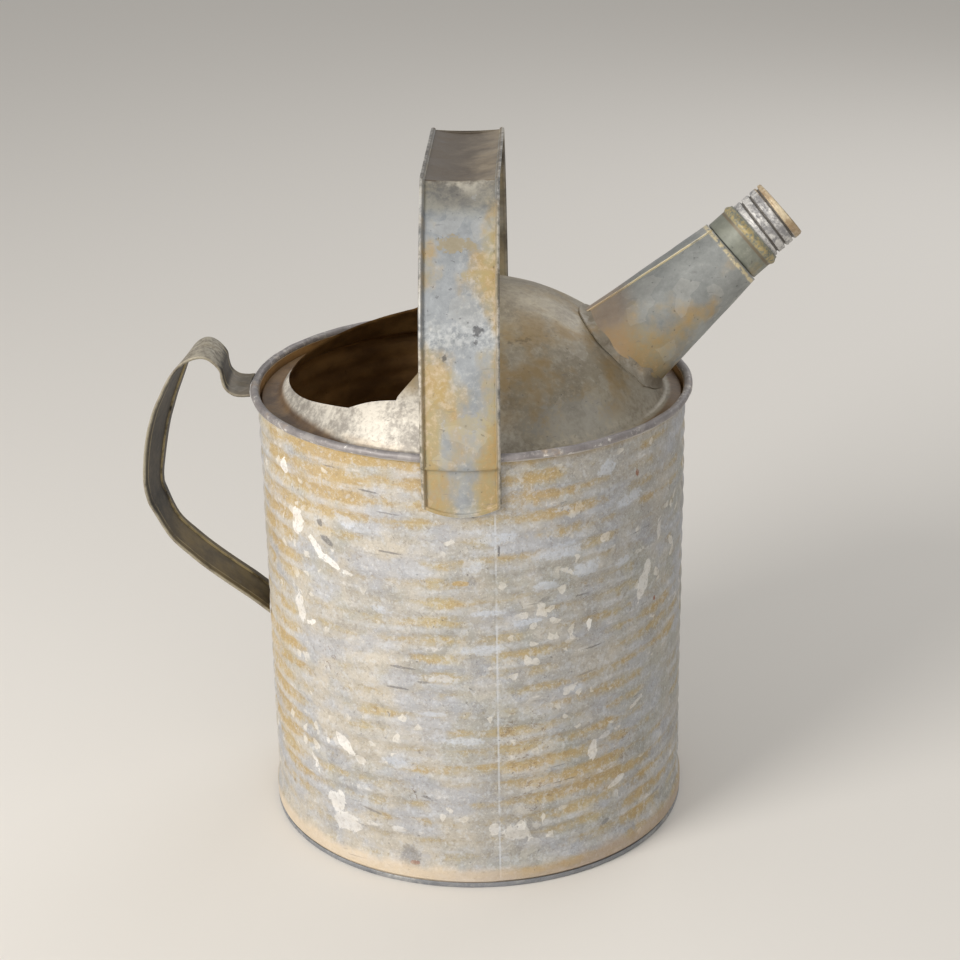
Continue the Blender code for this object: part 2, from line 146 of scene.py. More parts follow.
def gridMesh(rows, ringClosed=True, loopClosed=False, capped=False):
    # rows of points, each row a ring or a strip
    bm = bmesh.new()
    grid = [[bm.verts.new(p) for p in row] for row in rows]
    pairs = list(zip(grid, grid[1:])) + ([(grid[-1], grid[0])] if loopClosed else [])
    for low, high in pairs:
        count = len(low)
        for j in range(count if ringClosed else count - 1):
            k = (j + 1) % count
            bm.faces.new((low[j], low[k], high[k], high[j]))
    if capped:
        # a flat strap's ring runs out along one face and back along the other
        for row in (grid[0], grid[-1]):
            for j in range(len(row) // 2 - 1):
                bm.faces.new((row[j], row[j + 1], row[-2 - j], row[-1 - j]))
    return bm


def spinRows(profile, steps, wobble=None):
    rows = []
    for i in range(steps):
        a = math.tau * i / steps
        row = []
        for r, z in profile:
            dr, dz = wobble(a, r, z) if wobble else (0.0, 0.0)
            row.append(((r + dr) * math.cos(a), (r + dr) * math.sin(a), z + dz))
        rows.append(row)
    return rows


def arcPoints(cx, cz, radius, start, end, steps):
    turns = [math.radians(start + (end - start) * i / steps) for i in range(steps + 1)]
    return [(cx + radius * math.cos(a), cz + radius * math.sin(a)) for a in turns]


def smoothTable(keys, steps):
    # rows of numbers that run smoothly through the key rows
    out = []
    for i in range(len(keys) - 1):
        p1, p2 = keys[i], keys[i + 1]
        p0 = keys[i - 1] if i else tuple(2 * a - b for a, b in zip(p1, p2))
        p3 = keys[i + 2] if i + 2 < len(keys) else tuple(2 * b - a for a, b in zip(p1, p2))
        for j in range(steps):
            t = j / steps
            out.append(tuple(0.5 * (2 * b + (c - a) * t + (2 * a - 5 * b + 4 * c - d) * t * t
                                    + (3 * b - a - 3 * c + d) * t ** 3)
                             for a, b, c, d in zip(p0, p1, p2, p3)))
    out.append(tuple(keys[-1]))
    return out


def applied(obj):
    # turns an object and its modifiers into one plain mesh
    graph = bpy.context.evaluated_depsgraph_get()
    mesh = bpy.data.meshes.new_from_object(obj.evaluated_get(graph))
    obj.modifiers.clear()
    obj.data = mesh
    return obj


def place(obj, node):
    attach(obj, "root")
    if node:
        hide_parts(node)
    return obj


# zinc gone dull: every finish mixes a cold and a warm tone and is then painted by place

def cloud(spot, scale, detail=4.0, stretch=(1, 1, 1), shift=0.0, rough=0.55):
    moved = spot.node("ShaderNodeMapping", {}, {"Vector": spot, "Scale": stretch, "Location": (shift,) * 3})
    return moved.node("ShaderNodeTexNoise", {}, {
        "Vector": moved, "Scale": scale, "Detail": detail, "Roughness": rough})


def bent(spot, scale, detail, reach, shift):
    # coordinates pushed about by two noises, each along its own direction
    for direction, more in (((1.0, 0.5, 0.3), 0.0), ((-0.4, 0.6, 1.0), 50.0)):
        push = (cloud(spot, scale, detail, shift=shift + more) - 0.5) * reach
        push = spot.node("ShaderNodeVectorMath", {"operation": "SCALE"}, {0: direction, 3: push})
        spot = spot.vector("ADD", push)
    return spot


def crystals(spot, size, bend, shift=0.0):
    # one random value for each angular crystal of the zinc coat
    moved = bent(spot, 0.7 / size, 2.0, bend * 2, shift)
    cells = moved.node("ShaderNodeTexVoronoi", {}, {"Vector": moved, "Scale": 1.0 / size}, out="Color")
    return cells.node("ShaderNodeSeparateColor", {}, {0: cells})


def cracks(spot, size, shift=0.0):
    # fine scribbled lines: the borders of bent cells
    moved = bent(spot, 1.3 / size, 3.0, 2.4 * size, shift)
    cells = moved.node("ShaderNodeTexVoronoi", {"feature": "DISTANCE_TO_EDGE"}, {
        "Vector": moved, "Scale": 1.0 / size}, out="Distance")
    return cells.step(0.05, 0.015)


def onWall(azimuth, height, across, along, tilt=0.0):
    # a patch on the wall: bearing, height, half sizes in millimetres, and its tilt in degrees
    a, t = math.radians(azimuth), math.radians(tilt)
    normal = Vector((math.cos(a), math.sin(a), 0.0))
    flat = Vector((-math.sin(a), math.cos(a), 0.0))
    u = flat * math.cos(t) + Vector((0, 0, math.sin(t)))
    v = normal.cross(u)
    centre = (wallFace * mm * math.cos(a), wallFace * mm * math.sin(a), height * mm)
    return centre, Matrix((u, v, normal)).transposed(), (across * mm, along * mm, 12 * mm)


def ball(x, y, z, reachX, reachY, reachZ):
    return (x * mm, y * mm, z * mm), Matrix.Identity(3), (reachX * mm, reachY * mm, reachZ * mm)


def inside(spot, where):
    # distance from a patch's middle, 1 on its edge
    centre, axes, reach = where
    return spot.node("ShaderNodeMapping", {"vector_type": "TEXTURE"}, {
        "Vector": spot, "Location": centre, "Rotation": tuple(axes.to_euler()), "Scale": reach}).size()


def paint(spot, colour, edge, marks):
    # ragged patches: place, tone, strength, raggedness
    for where, tone, most, ragged in marks:
        mask = (inside(spot, where) + edge * ragged).step(1.15, 0.75) * most
        colour = mask.blend(colour, tone)
    return colour


def field(spot, name):
    # a number that the wall's points carry
    return spot.node("ShaderNodeAttribute", {"attribute_name": name}, out="Fac")


def startMaterial(name):
    mat = bpy.data.materials.new(name)
    mat.use_nodes = True
    tree = mat.node_tree
    tree.nodes.clear()
    coords = Wire(tree).node("ShaderNodeTexCoord", out="Object")
    spot = coords.vector("SUBTRACT", tuple(canAxis))
    return mat, spot, coords.part("Normal")


def finishMaterial(start, colour, rough, metallic, height, depth):
    bump = start.node("ShaderNodeBump", {}, {"Strength": 1.0, "Distance": depth, "Height": height})
    shader = start.node("ShaderNodeBsdfPrincipled", {}, {
        "Base Color": colour, "Roughness": rough, "Metallic": metallic, "Normal": bump})
    start.node("ShaderNodeOutputMaterial", {}, {"Surface": shader})


tones = {
    "grey": (158, 156, 152), "cream": (188, 180, 166), "green": (158, 158, 150), "lavender": (167, 170, 178),
    "coldPale": (202, 206, 212), "ochre": (176, 146, 82), "sand": (184, 168, 124), "chalk": (228, 223, 213),
    "white": (236, 233, 228), "rust": (140, 78, 40), "brown": (104, 78, 50), "soot": (62, 60, 62),
    "slate": (108, 106, 106), "peach": (222, 202, 174), "umber": (78, 54, 30), "iceBlue": (204, 211, 222),
    "valley": (146, 136, 120), "grime": (120, 110, 98),
}

wallLook = {
    "depth": 0.45 * mm,
    # broad ochre stains: bearing, height, reach, gain
    "stains": [
        (-143, 192, 34, 0.36), (-120, 200, 26, 0.42), (-101, 197, 22, 0.44), (-127, 180, 18, 0.24),
        (-77, 199, 20, 0.5), (-66, 181, 18, 0.36), (-57, 51, 26, 0.36), (-35, 22, 26, 0.3),
        (-154, 150, 30, 0.42), (-158, 90, 40, 0.42), (-150, 40, 30, 0.3), (-75, 58, 20, 0.26),
        (-100, 110, 16, 0.08), (-97, 60, 22, 0.1), (-33, 182, 24, 0.2), (-28, 110, 26, 0.24),
        (-48, 92, 20, 0.16), (-120, 84, 18, 0.1), (-90, 150, 14, 0.12), (10, 180, 40, 0.2),
        (60, 60, 50, 0.2), (120, 150, 50, 0.22), (165, 60, 40, 0.2), (90, 200, 30, 0.25),
    ],
    # chips: bearing, height, half across, half along, tilt, strength
    "chips": [
        (-146.4, 187, 3.2, 4, 0, 0.85), (-140.6, 164.3, 4.2, 6, -20, 0.75),
        (-133.4, 155.5, 6.5, 2.4, -48, 0.8), (-127.5, 150.8, 6, 1.8, -30, 0.8),
        (-122, 147.6, 4, 1.1, -16, 0.55), (-141.5, 121, 4, 8.5, 8, 0.6), (-137, 117, 3.5, 1.1, 26, 0.8),
        (-125.7, 62.5, 6.2, 2.6, -38, 0.75), (-131.8, 61, 3, 1.2, -50, 0.7), (-121, 57, 3.2, 2.2, -30, 0.4),
        (-129.5, 31, 5.5, 6.5, 10, 0.62), (-126.9, 22, 8.5, 4.5, 0, 0.5), (-137.5, 45, 6, 1.6, -55, 0.62),
        (-52.3, 162.3, 3, 2.2, 20, 0.45), (-37.4, 133.8, 3.5, 9.5, -24, 0.6),
        (-30.2, 154.3, 2.2, 6.5, -8, 0.4), (-57.3, 122.9, 1.6, 3, -20, 0.8), (-56, 61, 2.2, 6, -14, 0.62),
        (-52, 66, 3, 1.8, 10, 0.35), (-77.3, 27.3, 6, 5.5, 0, 0.42), (-110, 26.5, 5, 2, 0, 0.38),
        (-63, 118, 3, 1.4, 10, 0.3), (-84, 30, 2.4, 3.2, 0, 0.45), (-48, 40, 5, 1.6, 22, 0.5),
        (-40, 76, 4.5, 1.3, 24, 0.45), (20, 120, 5, 8, 15, 0.5), (75, 70, 7, 4, -30, 0.55),
        (130, 110, 4, 9, 20, 0.55), (160, 40, 8, 3, -35, 0.55), (100, 165, 5, 3, 10, 0.5),
    ],
    # pale blue worn streaks along the crests
    "streaks": [
        (-81.5, 170, 9, 2.6, 3, 0.6), (-66, 161, 12, 3.4, 5, 0.6), (-84.3, 135.5, 9, 1.6, 1, 0.62),
        (-58, 150, 9, 4, 8, 0.55), (-70, 146, 10, 2.4, 4, 0.5), (-44, 176, 9, 3, 8, 0.45),
        (-46, 148, 6, 3, 10, 0.45), (-122, 172, 8, 3, -12, 0.4), (-52, 194, 6, 4, 8, 0.45),
        (-92, 74, 10, 2.2, 0, 0.45), (-86, 118, 12, 2.4, 1, 0.45), (-110, 60, 9, 3, -6, 0.35),
        (-74, 130, 8, 1.5, 3, 0.5), (-65, 180, 7, 1.6, 5, 0.35), (-96, 104, 11, 2, 0, 0.34),
        (-100, 86.5, 12, 1.7, -2, 0.3), (-112, 134, 9, 2.4, -5, 0.25), (-88, 158, 6, 5, 0, 0.25),
    ],
    # scratches, soot and rust: bearing, height, half across, half along, tilt, tone, strength
    "dark": [
        (-115.3, 188.4, 5, 0.5, -3, "slate", 0.75), (-109.7, 179.6, 6, 0.45, -2, "slate", 0.55),
        (-109.5, 161.7, 5, 0.45, -2, "slate", 0.7), (-107.3, 107.9, 6, 0.6, -1, "slate", 0.65),
        (-109.2, 97.6, 5, 0.6, -1, "slate", 0.65), (-101.8, 101.8, 3.4, 0.5, 0, "slate", 0.6),
        (-131.4, 167.6, 1.5, 1.6, 0, "slate", 0.75), (-129, 160.4, 4, 1.5, -22, "slate", 0.8),
        (-106.8, 13.2, 4.6, 6, 0, "slate", 0.5), (-52.1, 21.6, 3, 1.4, 18, "slate", 0.6),
        (-81.8, 164.2, 0.6, 2.6, 0, "slate", 0.85), (-41, 186.9, 1, 1.6, 0, "rust", 0.75),
        (-32.6, 122, 0.9, 1.2, 0, "rust", 0.85), (-105.4, 11, 2, 1, 0, "rust", 0.55),
        (-91.6, 149.7, 3.4, 1.4, 0, "ochre", 0.75), (-88.6, 151.2, 1.8, 2.2, 0, "slate", 0.35),
        (-70, 139.5, 3, 1, 16, "slate", 0.5), (-102, 45, 2.2, 0.8, -20, "slate", 0.6),
        (-118, 33, 5, 0.7, -12, "slate", 0.5), (-58, 100, 5, 0.6, 6, "slate", 0.4),
        (45, 90, 3, 2, 10, "slate", 0.5), (140, 80, 2.4, 1.6, 0, "rust", 0.6),
    ],
    # fields of tiny brown scribbles
    "scribbles": [
        (-76, 72, 14, 22), (-74, 45, 12, 12), (-104, 44, 10, 8), (-60, 140, 9, 7), (60, 120, 20, 20),
        (-45, 58, 10, 12), (-130, 100, 8, 16), (150, 130, 16, 16),
    ],
}


def wallMaterial():
    mat, spot, normal = startMaterial("ribbed wall zinc")
    x, y, z = spot.axes()
    bearing = y.math("ARCTAN2", x)
    lean = bearing.math("COSINE") * wall["Lean"]
    wander = (cloud(spot, 22, 2.0) - 0.5) * wall["Wander"]
    phase = (z - lean - wall["First crest"] + wander) / wall["Rib pitch"]
    crest = (phase * math.tau).math("COSINE") * 0.5 + 0.5          # 1 on a crest, 0 in a valley
    level = spot.node("ShaderNodeCombineXYZ", {}, {0: x, 1: y, 2: z - lean})
    big = cloud(spot, 15, 3.0)
    middle = cloud(spot, 52, 5.0, rough=0.65)
    streak = cloud(level, 42, 5.0, stretch=(0.7, 0.7, 3.2), shift=3.0, rough=0.6)
    fine = cloud(spot, 240, 5.0, rough=0.75)
    grit = cloud(spot, 1100, 2.0, rough=0.8)
    edge = (fine - 0.5) * 2.6 + (middle - 0.5) * 1.2

    # the ground tone goes from cream on the left and below to a greenish grey on the right: partly the zinc's
    # own tone, partly painted shade on the side away from the key light
    greyness = (bearing - math.radians(-20)).math("COSINE") * 0.5 + (middle - 0.5) * 2.4 + (big - 0.5) * 1.2
    colour = greyness.step(-0.5, 0.75).blend("cream", "grey")
    greener = (cloud(spot, 34, 4.0, shift=6.0) + (greyness * 0.08)).step(0.50, 0.66) * 0.6
    colour = greener.blend(colour, "green")
    mauve = cloud(level, 36, 4.0, stretch=(1, 1, 1.8), shift=9.0).step(0.46, 0.62) * 0.70
    colour = mauve.blend(colour, "lavender")

    # crystals of the coat, each a shade lighter or darker
    large = crystals(spot, 15 * mm, 5 * mm)
    small = crystals(spot, 6.5 * mm, 2.5 * mm, 4.0)
    clearer = big.step(0.46, 0.62) * 0.10 + 0.05
    colour = (large.step(0.70, 0.72) * clearer).blend(colour, "chalk")
    colour = (large.step(0.26, 0.24) * clearer).blend(colour, "slate")
    colour = (small.step(0.78, 0.80) * clearer).blend(colour, "chalk")
    colour = (small.step(0.20, 0.18) * clearer).blend(colour, "slate")

    # ochre lies in the valleys, in broken streaks
    # painted shade: the valleys between the ribs are darkened to a grey brown
    shade = crest.step(0.60, 0.0) * streak.step(0.40, 0.64) * middle.step(0.38, 0.62)
    colour = (shade * 0.50).blend(colour, "valley")
    stain = field(spot, "stain")
    drips = cloud(spot, 34, 4.0, stretch=(1.5, 1.5, 0.5), shift=51.0, rough=0.6)
    warm = (0.5 - crest) * 0.36
    for noisy, gain in ((streak, 1.5), (middle, 1.2), (big, 0.7), (fine, 0.9), (drips, 1.1)):
        warm = warm + (noisy - 0.5) * gain
    ochre = (warm + stain * 1.15 + 0.12).step(0.14, 0.74)
    hot = (streak * 0.5 + fine * 0.5 + stain * 0.40).step(0.44, 0.70).blend("sand", "ochre")
    colour = (ochre * 0.74).blend(colour, hot)
    dust = cloud(spot, 330, 3.0, shift=61.0, rough=0.7).step(0.52, 0.64)
    colour = (dust * 0.34).blend(colour, "coldPale")

    # the crests are rubbed to a cold pale grey
    rubbed = crest.step(0.50, 1.0) * streak.step(0.40, 0.60) * (fine.step(0.34, 0.60) * 0.62)
    rubbed = rubbed * drips.step(0.34, 0.60)
    colour = rubbed.blend(colour, "coldPale")
    glint = crest.step(0.70, 1.0) * cloud(level, 55, 4.0, (0.8, 0.8, 2.0), 13.0).step(0.58, 0.66)
    colour = (glint * fine.step(0.48, 0.60) * 0.55).blend(colour, "white")

    # chips of pale paint-like bloom, angular and of all sizes
    tiny = crystals(spot, 3.2 * mm, 1.2 * mm, 8.0)
    scattered = tiny.step(0.93, 0.95) * cloud(spot, 40, 3.0, shift=15.0).step(0.48, 0.60)
    colour = (scattered * 0.55).blend(colour, "chalk")
    cold = (field(spot, "streak") + edge * 1.2).step(-0.15, 0.25) * 0.5
    colour = cold.blend(colour, "iceBlue")
    chip = (field(spot, "chip") + edge * 0.35 + (small - 0.5) * 0.5).step(0.0, 0.08) * field(spot, "chipMost")
    colour = chip.blend(colour, "white")

    # the sheet's lapped edge: a pale broken line down the wall
    lapLine = (bearing - math.radians(-82.6)).math("ABSOLUTE").step(0.0065, 0.0025)
    lapLine = lapLine * z.step(186 * mm, 176 * mm) * middle.step(0.38, 0.56)
    colour = (lapLine * 0.55).blend(colour, "coldPale")

    # scratches, scribbles and pits
    scratch = cloud(level, 70, 3.0, stretch=(0.6, 0.6, 11.0), shift=7.0).step(0.66, 0.71)
    scratched = scratch * crest.step(0.30, 0.80) * cloud(spot, 30, 2.0, shift=19.0).step(0.52, 0.62)
    colour = (scratched * 0.55).blend(colour, "slate")
    busy = cloud(spot, 26, 3.0, shift=23.0).step(0.60, 0.70) * 0.6
    busy = busy + (field(spot, "scribble") + edge * 0.3).step(0, 0.5)
    lines = cracks(spot, 4.4 * mm) * cloud(spot, 300, 2.0, shift=27.0).step(0.50, 0.58)
    colour = (lines * busy * 0.62).blend(colour, "brown")
    pits = cloud(spot, 520, 2.0, shift=31.0).step(0.69, 0.74)
    colour = (pits * (middle.step(0.40, 0.60) * 0.6)).blend(colour, "slate")
    marks = []
    for azimuth, height, across, along, tilt, tone, most in wallLook["dark"]:
        marks.append((onWall(azimuth, height, across, along, tilt), tone, most, 0.8))
    colour = paint(spot, colour, edge, marks)

    # grain over all
    colour = (fine.step(0.50, 0.74) * 0.30).blend(colour, "grime")
    grains = cloud(spot, 620, 3.0, shift=45.0, rough=0.7).step(0.50, 0.70)
    colour = (grains * 0.34).blend(colour, "grime")
    colour = (grit.step(0.52, 0.74) * 0.36).blend(colour, "chalk")

    # peach foot flare, painted lighter on the side toward the key light as painted light, and an ochre band
    # just under the rim
    foot = (z + (middle - 0.5) * (9 * mm)).step(12 * mm, 7 * mm)
    litSide = (bearing - math.radians(-140)).math("COSINE").step(0.1, 0.9)
    colour = (foot * 0.62).blend(colour, litSide.blend((178, 152, 120), "peach"))
    colour = (z.step(201 * mm, 204.5 * mm) * 0.35).blend(colour, "ochre")

    # the inside is brown with old water marks
    inward = normal.vector("DOT_PRODUCT", spot.vector("MULTIPLY", (1, 1, 0)), "Value").step(0.01, -0.01)
    darkness = cloud(spot, 30, 4.0, (1, 1, 2), 40.0).step(0.35, 0.70)
    colour = inward.blend(colour, darkness.blend((112, 80, 44), (172, 132, 78)))
    rough = 0.66 - rubbed * 0.2 + ochre * 0.08
    metallic = 0.12 - ochre * 0.10
    height = middle * 0.5 + fine * 0.55 + grit * 0.3 - scratched * 0.7 - pits * 0.5 + scattered * 0.2
    finishMaterial(spot, colour, rough, metallic, height, wallLook["depth"])
    return mat


def patina(name, look):
    mat, spot, normal = startMaterial(name)
    scale, shift = look["scale"], look["shift"]
    seen = {
        "normal": normal, "big": cloud(spot, scale, 3.0, shift=shift),
        "middle": cloud(spot, scale * 3.2, 5.0, shift=shift + 1.0, rough=0.65),
        "streak": cloud(spot, scale * 3.0, 4.0, look["grain"], shift + 2.0),
        "fine": cloud(spot, 420, 4.0, rough=0.7),
    }
    middle, fine, streak = seen["middle"], seen["fine"], seen["streak"]
    seen["edge"] = (fine - 0.5) * 2.2 + (middle - 0.5) * 1.6
    cold = ((middle - 0.5) * 1.5 + (fine - 0.5) * 0.7 + 0.5).blend(look["coldDark"], look["cold"])
    warm = (seen["big"] - 0.5) * 1.5 + (streak - 0.5) * 1.4 + (middle - 0.5) * 1.0 + look["warmth"]
    if "warmer" in look:
        warm = warm + look["warmer"](spot, seen)
    ochre = warm.step(0.25, 0.80)
    hot = (streak * 0.5 + fine * 0.5).step(0.40, 0.62).blend(look["tan"], look["ochre"])
    colour = (ochre * look["warmMost"]).blend(cold, hot)
    bloom = (seen["big"] * 0.5 + fine * 0.55).step(0.55, 0.68) * look["pale"]
    colour = bloom.blend(colour, "chalk")
    colour = (crystals(spot, 8 * mm, 3 * mm, shift).step(0.80, 0.83) * 0.10).blend(colour, "chalk")
    specks = cloud(spot, 480, 2.0, shift=shift + 11.0).step(0.68, 0.74)
    colour = (specks * look["specks"]).blend(colour, "soot")
    if "paint" in look:
        colour = look["paint"](spot, colour, seen)
    scrape = cloud(spot, 120, 3.0, (1, 1, 5), shift + 21.0).step(0.66, 0.72) * 0.3
    colour = scrape.blend(colour, "slate")
    rough = look["rough"] + ochre * 0.12
    metallic = look["metallic"] - ochre * (look["metallic"] * 0.6)
    height = middle * 0.4 + fine * 0.45 - specks * 0.5 - scrape * 0.4
    finishMaterial(spot, colour, rough, metallic, height, look["depth"])
    return mat


def paintRim(spot, colour, seen):
    z = spot.axes()[2]
    # painted highlight: the lower side of the bead is painted pale chalk
    lower = (z + (seen["middle"] - 0.5) * (2 * mm)).step(206.2 * mm, 205.3 * mm)
    colour = (lower * 0.45).blend(colour, "chalk")
    flecks = seen["fine"].step(0.60, 0.66) * seen["middle"].step(0.42, 0.56)
    return (flecks * 0.6).blend(colour, "white")


def paintHood(spot, colour, seen):
    x, y, z = spot.axes()
    middle, fine = seen["middle"], seen["fine"]
    r = (x * x + y * y).math("SQRT")
    bearing = y.math("ARCTAN2", x)
    crown = (z + (seen["big"] - 0.5) * (10 * mm)).step(232 * mm, 244 * mm)
    brown = (middle * 0.6 + fine * 0.5).step(0.40, 0.70).blend((118, 106, 86), (160, 148, 122))
    colour = (crown * 0.6).blend(colour, brown)
    # painted light: the lower slopes of the dome are painted lighter
    low = z.step(226 * mm, 210 * mm) * (middle * 0.5 + fine * 0.6).step(0.44, 0.66)
    colour = (low * 0.5).blend(colour, (172, 164, 148))
    olive = z.step(250 * mm, 240 * mm) * z.step(206 * mm, 216 * mm)
    olive = olive * (middle * 0.5 + seen["streak"] * 0.6).step(0.50, 0.66)
    colour = (olive * 0.62).blend(colour, (146, 120, 72))
    colour = paint(spot, colour, seen["edge"], [
        (ball(52, -68, 211, 26, 18, 8), (160, 160, 156), 0.36, 1.2),
        (ball(44, -58, 232, 9, 9, 2.2), (160, 120, 62), 0.45, 0.9),
        (ball(28, -50, 240, 10, 10, 1.0), (84, 76, 62), 0.40, 0.9),
        (ball(68, -52, 224, 8, 8, 1.0), (84, 76, 62), 0.35, 0.9),
    ])
    # painted highlight: the ring in front of the mouth, on the side toward the key light, is painted bright
    turn = (bearing - math.radians(-138)).math("COSINE")
    leftFront = (turn + (middle - 0.5) * 0.3).step(0.40, 0.72)
    ring = (r + (middle - 0.5) * (6 * mm)).step(67 * mm, 74 * mm)
    ringHighlight = (middle * 0.7 + fine * 0.6).step(0.52, 0.76).blend((158, 152, 144), (220, 214, 202))
    colour = (ring * leftFront * 0.88).blend(colour, ringHighlight)
    cream = z.step(208 * mm, 204.8 * mm) * leftFront * middle.step(0.35, 0.6)
    colour = (cream * 0.5).blend(colour, (190, 164, 132))
    # painted highlight: a pale band along the ridge near the dome's foot
    ridge = (r - 87.0 * mm + (middle - 0.5) * (4 * mm)).math("ABSOLUTE").step(2.6 * mm, 0.6 * mm)
    ridge = ridge * z.step(204 * mm, 205 * mm) * fine.step(0.30, 0.66)
    colour = (ridge * 0.45).blend(colour, (200, 192, 174))
    # the sunk channel is painted brown: dirt, darkened further as painted shade
    rearSide = (bearing - math.radians(-170)).math("COSINE").step(0.45, 0.95)
    channel = (r + (middle - 0.5) * (1.5 * mm) + rearSide * (4.5 * mm)).step(89.0 * mm, 90.8 * mm)
    colour = (channel * 0.88).blend(colour, middle.step(0.35, 0.65).blend((86, 62, 40), (124, 96, 62)))
    domeCentre = (0, 0, 150 * mm)
    outward = spot.vector("SUBTRACT", domeCentre)
    under = seen["normal"].vector("DOT_PRODUCT", outward, "Value").step(0.012, -0.004)
    return under.blend(colour, middle.step(0.3, 0.7).blend((112, 80, 44), (172, 134, 82)))


def warmHoop(spot, seen):
    x, _, z = spot.axes()
    across = (x - hoop["shift"] * mm).math("ABSOLUTE") / (hoop["width"] / 2 * mm)
    band = z.step(266 * mm, 276 * mm) * 0.16 - z.step(250 * mm, 256 * mm) * z.step(268 * mm, 262 * mm) * 0.2
    return across.step(0.20, 0.80) * 0.30 + z.step(262 * mm, 222 * mm) * 0.34 + band


def paintHoop(spot, colour, seen):
    x, y, z = spot.axes()
    middle, fine = seen["middle"], seen["fine"]
    across = (x - hoop["shift"] * mm) / (hoop["width"] / 2 * mm)
    flat = across.math("ABSOLUTE").step(0.93, 0.86)
    worn = (z - 257.0 * mm + (middle - 0.5) * (9 * mm)).math("ABSOLUTE").step(7 * mm, 2 * mm)
    colour = (worn * fine.step(0.36, 0.60) * flat * 0.42).blend(colour, (206, 208, 208))
    head = (z + (middle - 0.5) * (9 * mm)).step(297 * mm, 305 * mm) * flat
    dull = (fine * 0.5 + middle * 0.6).step(0.42, 0.66).blend((92, 94, 92), (150, 146, 128))
    colour = (head * 0.62).blend(colour, dull)
    colour = paint(spot, colour, seen["edge"], [
        # the first mark is a painted highlight: a glint just below the fold
        (ball(4.5, -62, 307, 3.0, 9, 2.6), (206, 210, 212), 0.55, 0.7),
        (ball(6.3, -84, 258.5, 2.2, 6, 2.4), "soot", 0.70, 0.9),
        (ball(5.6, -84, 254.5, 1.4, 6, 1.6), "soot", 0.60, 0.9),
        (ball(-7.3, -87, 248.4, 1.4, 6, 1.8), "soot", 0.70, 0.9),
        (ball(-9.0, -90, 236, 5.0, 8, 9.0), "ochre", 0.45, 0.9),
        (ball(-3.0, -66, 290, 9, 9, 3.0), (168, 146, 92), 0.50, 1.2),
        (ball(5.0, -72, 279, 8, 9, 2.6), (172, 152, 100), 0.45, 1.2),
        (ball(2.0, -93, 222, 13, 8, 5.0), "sand", 0.40, 1.0),
    ])
    # painted shade: the upward-facing top of the grip is painted dark brown, lighter toward +x
    top = seen["normal"].axes()[2].step(0.62, 0.90) * z.step(300 * mm, 304 * mm)
    brown = across * 0.5 + (middle - 0.5) * 1.2 + 0.3
    brown = brown.step(0.2, 1.0).blend((88, 74, 58), (150, 136, 116))
    colour = (top * 0.92).blend(colour, brown)
    # painted highlight: a pale line on the rounded edge of the fold
    lip = top.step(0.30, 0.5) * top.step(0.85, 0.65) * z.step(306 * mm, 308 * mm) * middle.step(0.42, 0.60)
    colour = (lip * 0.6).blend(colour, (206, 200, 186))
    edges = across.math("ABSOLUTE").step(0.90, 0.96)
    worn = (middle * 0.6 + fine * 0.5).step(0.45, 0.65).blend((88, 88, 88), (186, 184, 178))
    colour = (edges * 0.7).blend(colour, worn)
    # painted shade: a dark line in the crease beside each rolled edge
    fold = (across.math("ABSOLUTE") - 0.91).math("ABSOLUTE").step(0.03, 0.01)
    colour = (fold * 0.5).blend(colour, (84, 78, 70))
    # painted shade: the faces turned inward and down, toward the hand, are painted darker
    outY = y.math("SIGN") * seen["normal"].axes()[1] + seen["normal"].axes()[2] * 0.4
    inner = middle.step(0.3, 0.7).blend((78, 70, 56), (132, 122, 100))
    return (outY.step(-0.05, -0.35) * 0.75).blend(colour, inner)


def paintRear(spot, colour, seen):
    x, y, z = spot.axes()
    middle, fine = seen["middle"], seen["fine"]
    n = seen["normal"].axes()
    across = (y + x * -math.tan(math.radians(rear["turn"]))).math("ABSOLUTE")
    # painted shade: the faces toward the wall and under the hook are painted near black, turning olive brown
    # lower down
    inner = (n[0] - n[2] * z.step(150 * mm, 215 * mm)).step(-0.05, 0.35)
    dark = (middle * 0.6 + fine * 0.5).step(0.42, 0.66).blend((26, 22, 17), (64, 56, 43))
    colour = (inner * 0.92).blend(colour, dark)
    low = z.step(152 * mm, 132 * mm) * inner
    colour = (low * 0.75).blend(colour, middle.step(0.35, 0.65).blend((84, 70, 40), (124, 106, 66)))
    fold = (across - (rear["width"] / 2 - rear["hem"]) * mm).math("ABSOLUTE").step(0.9 * mm, 0.3 * mm)
    colour = (fold * inner * middle.step(0.35, 0.55) * 0.75).blend(colour, (178, 162, 120))
    rims = across.step(13.6 * mm, 14.3 * mm) * middle.step(0.35, 0.6)
    colour = (rims * 0.5).blend(colour, (176, 170, 150))
    lit = z.step(214 * mm, 222 * mm) * n[2].step(0.2, 0.8) * fine.step(0.36, 0.62)
    return (lit * 0.55).blend(colour, (196, 188, 168))


def onSpout(spot):
    # coordinates along the spout: across, down its side, and along its own axis
    m = spoutFrame()
    return spot.node("ShaderNodeMapping", {"vector_type": "TEXTURE"}, {
        "Vector": spot, "Location": tuple(m.to_translation()), "Rotation": tuple(m.to_euler())}).axes()


def warmSpout(spot, seen):
    x, y, s = onSpout(spot)
    side = (x * 0.6 - y * 0.8) / (22 * mm)
    low = (y * 0.9 + x * 0.2) / (20 * mm)
    return (s + side * (-16 * mm)).step(40 * mm, 2 * mm) * 0.45 + low.math("ABSOLUTE").step(0.55, 1.0) * 0.25


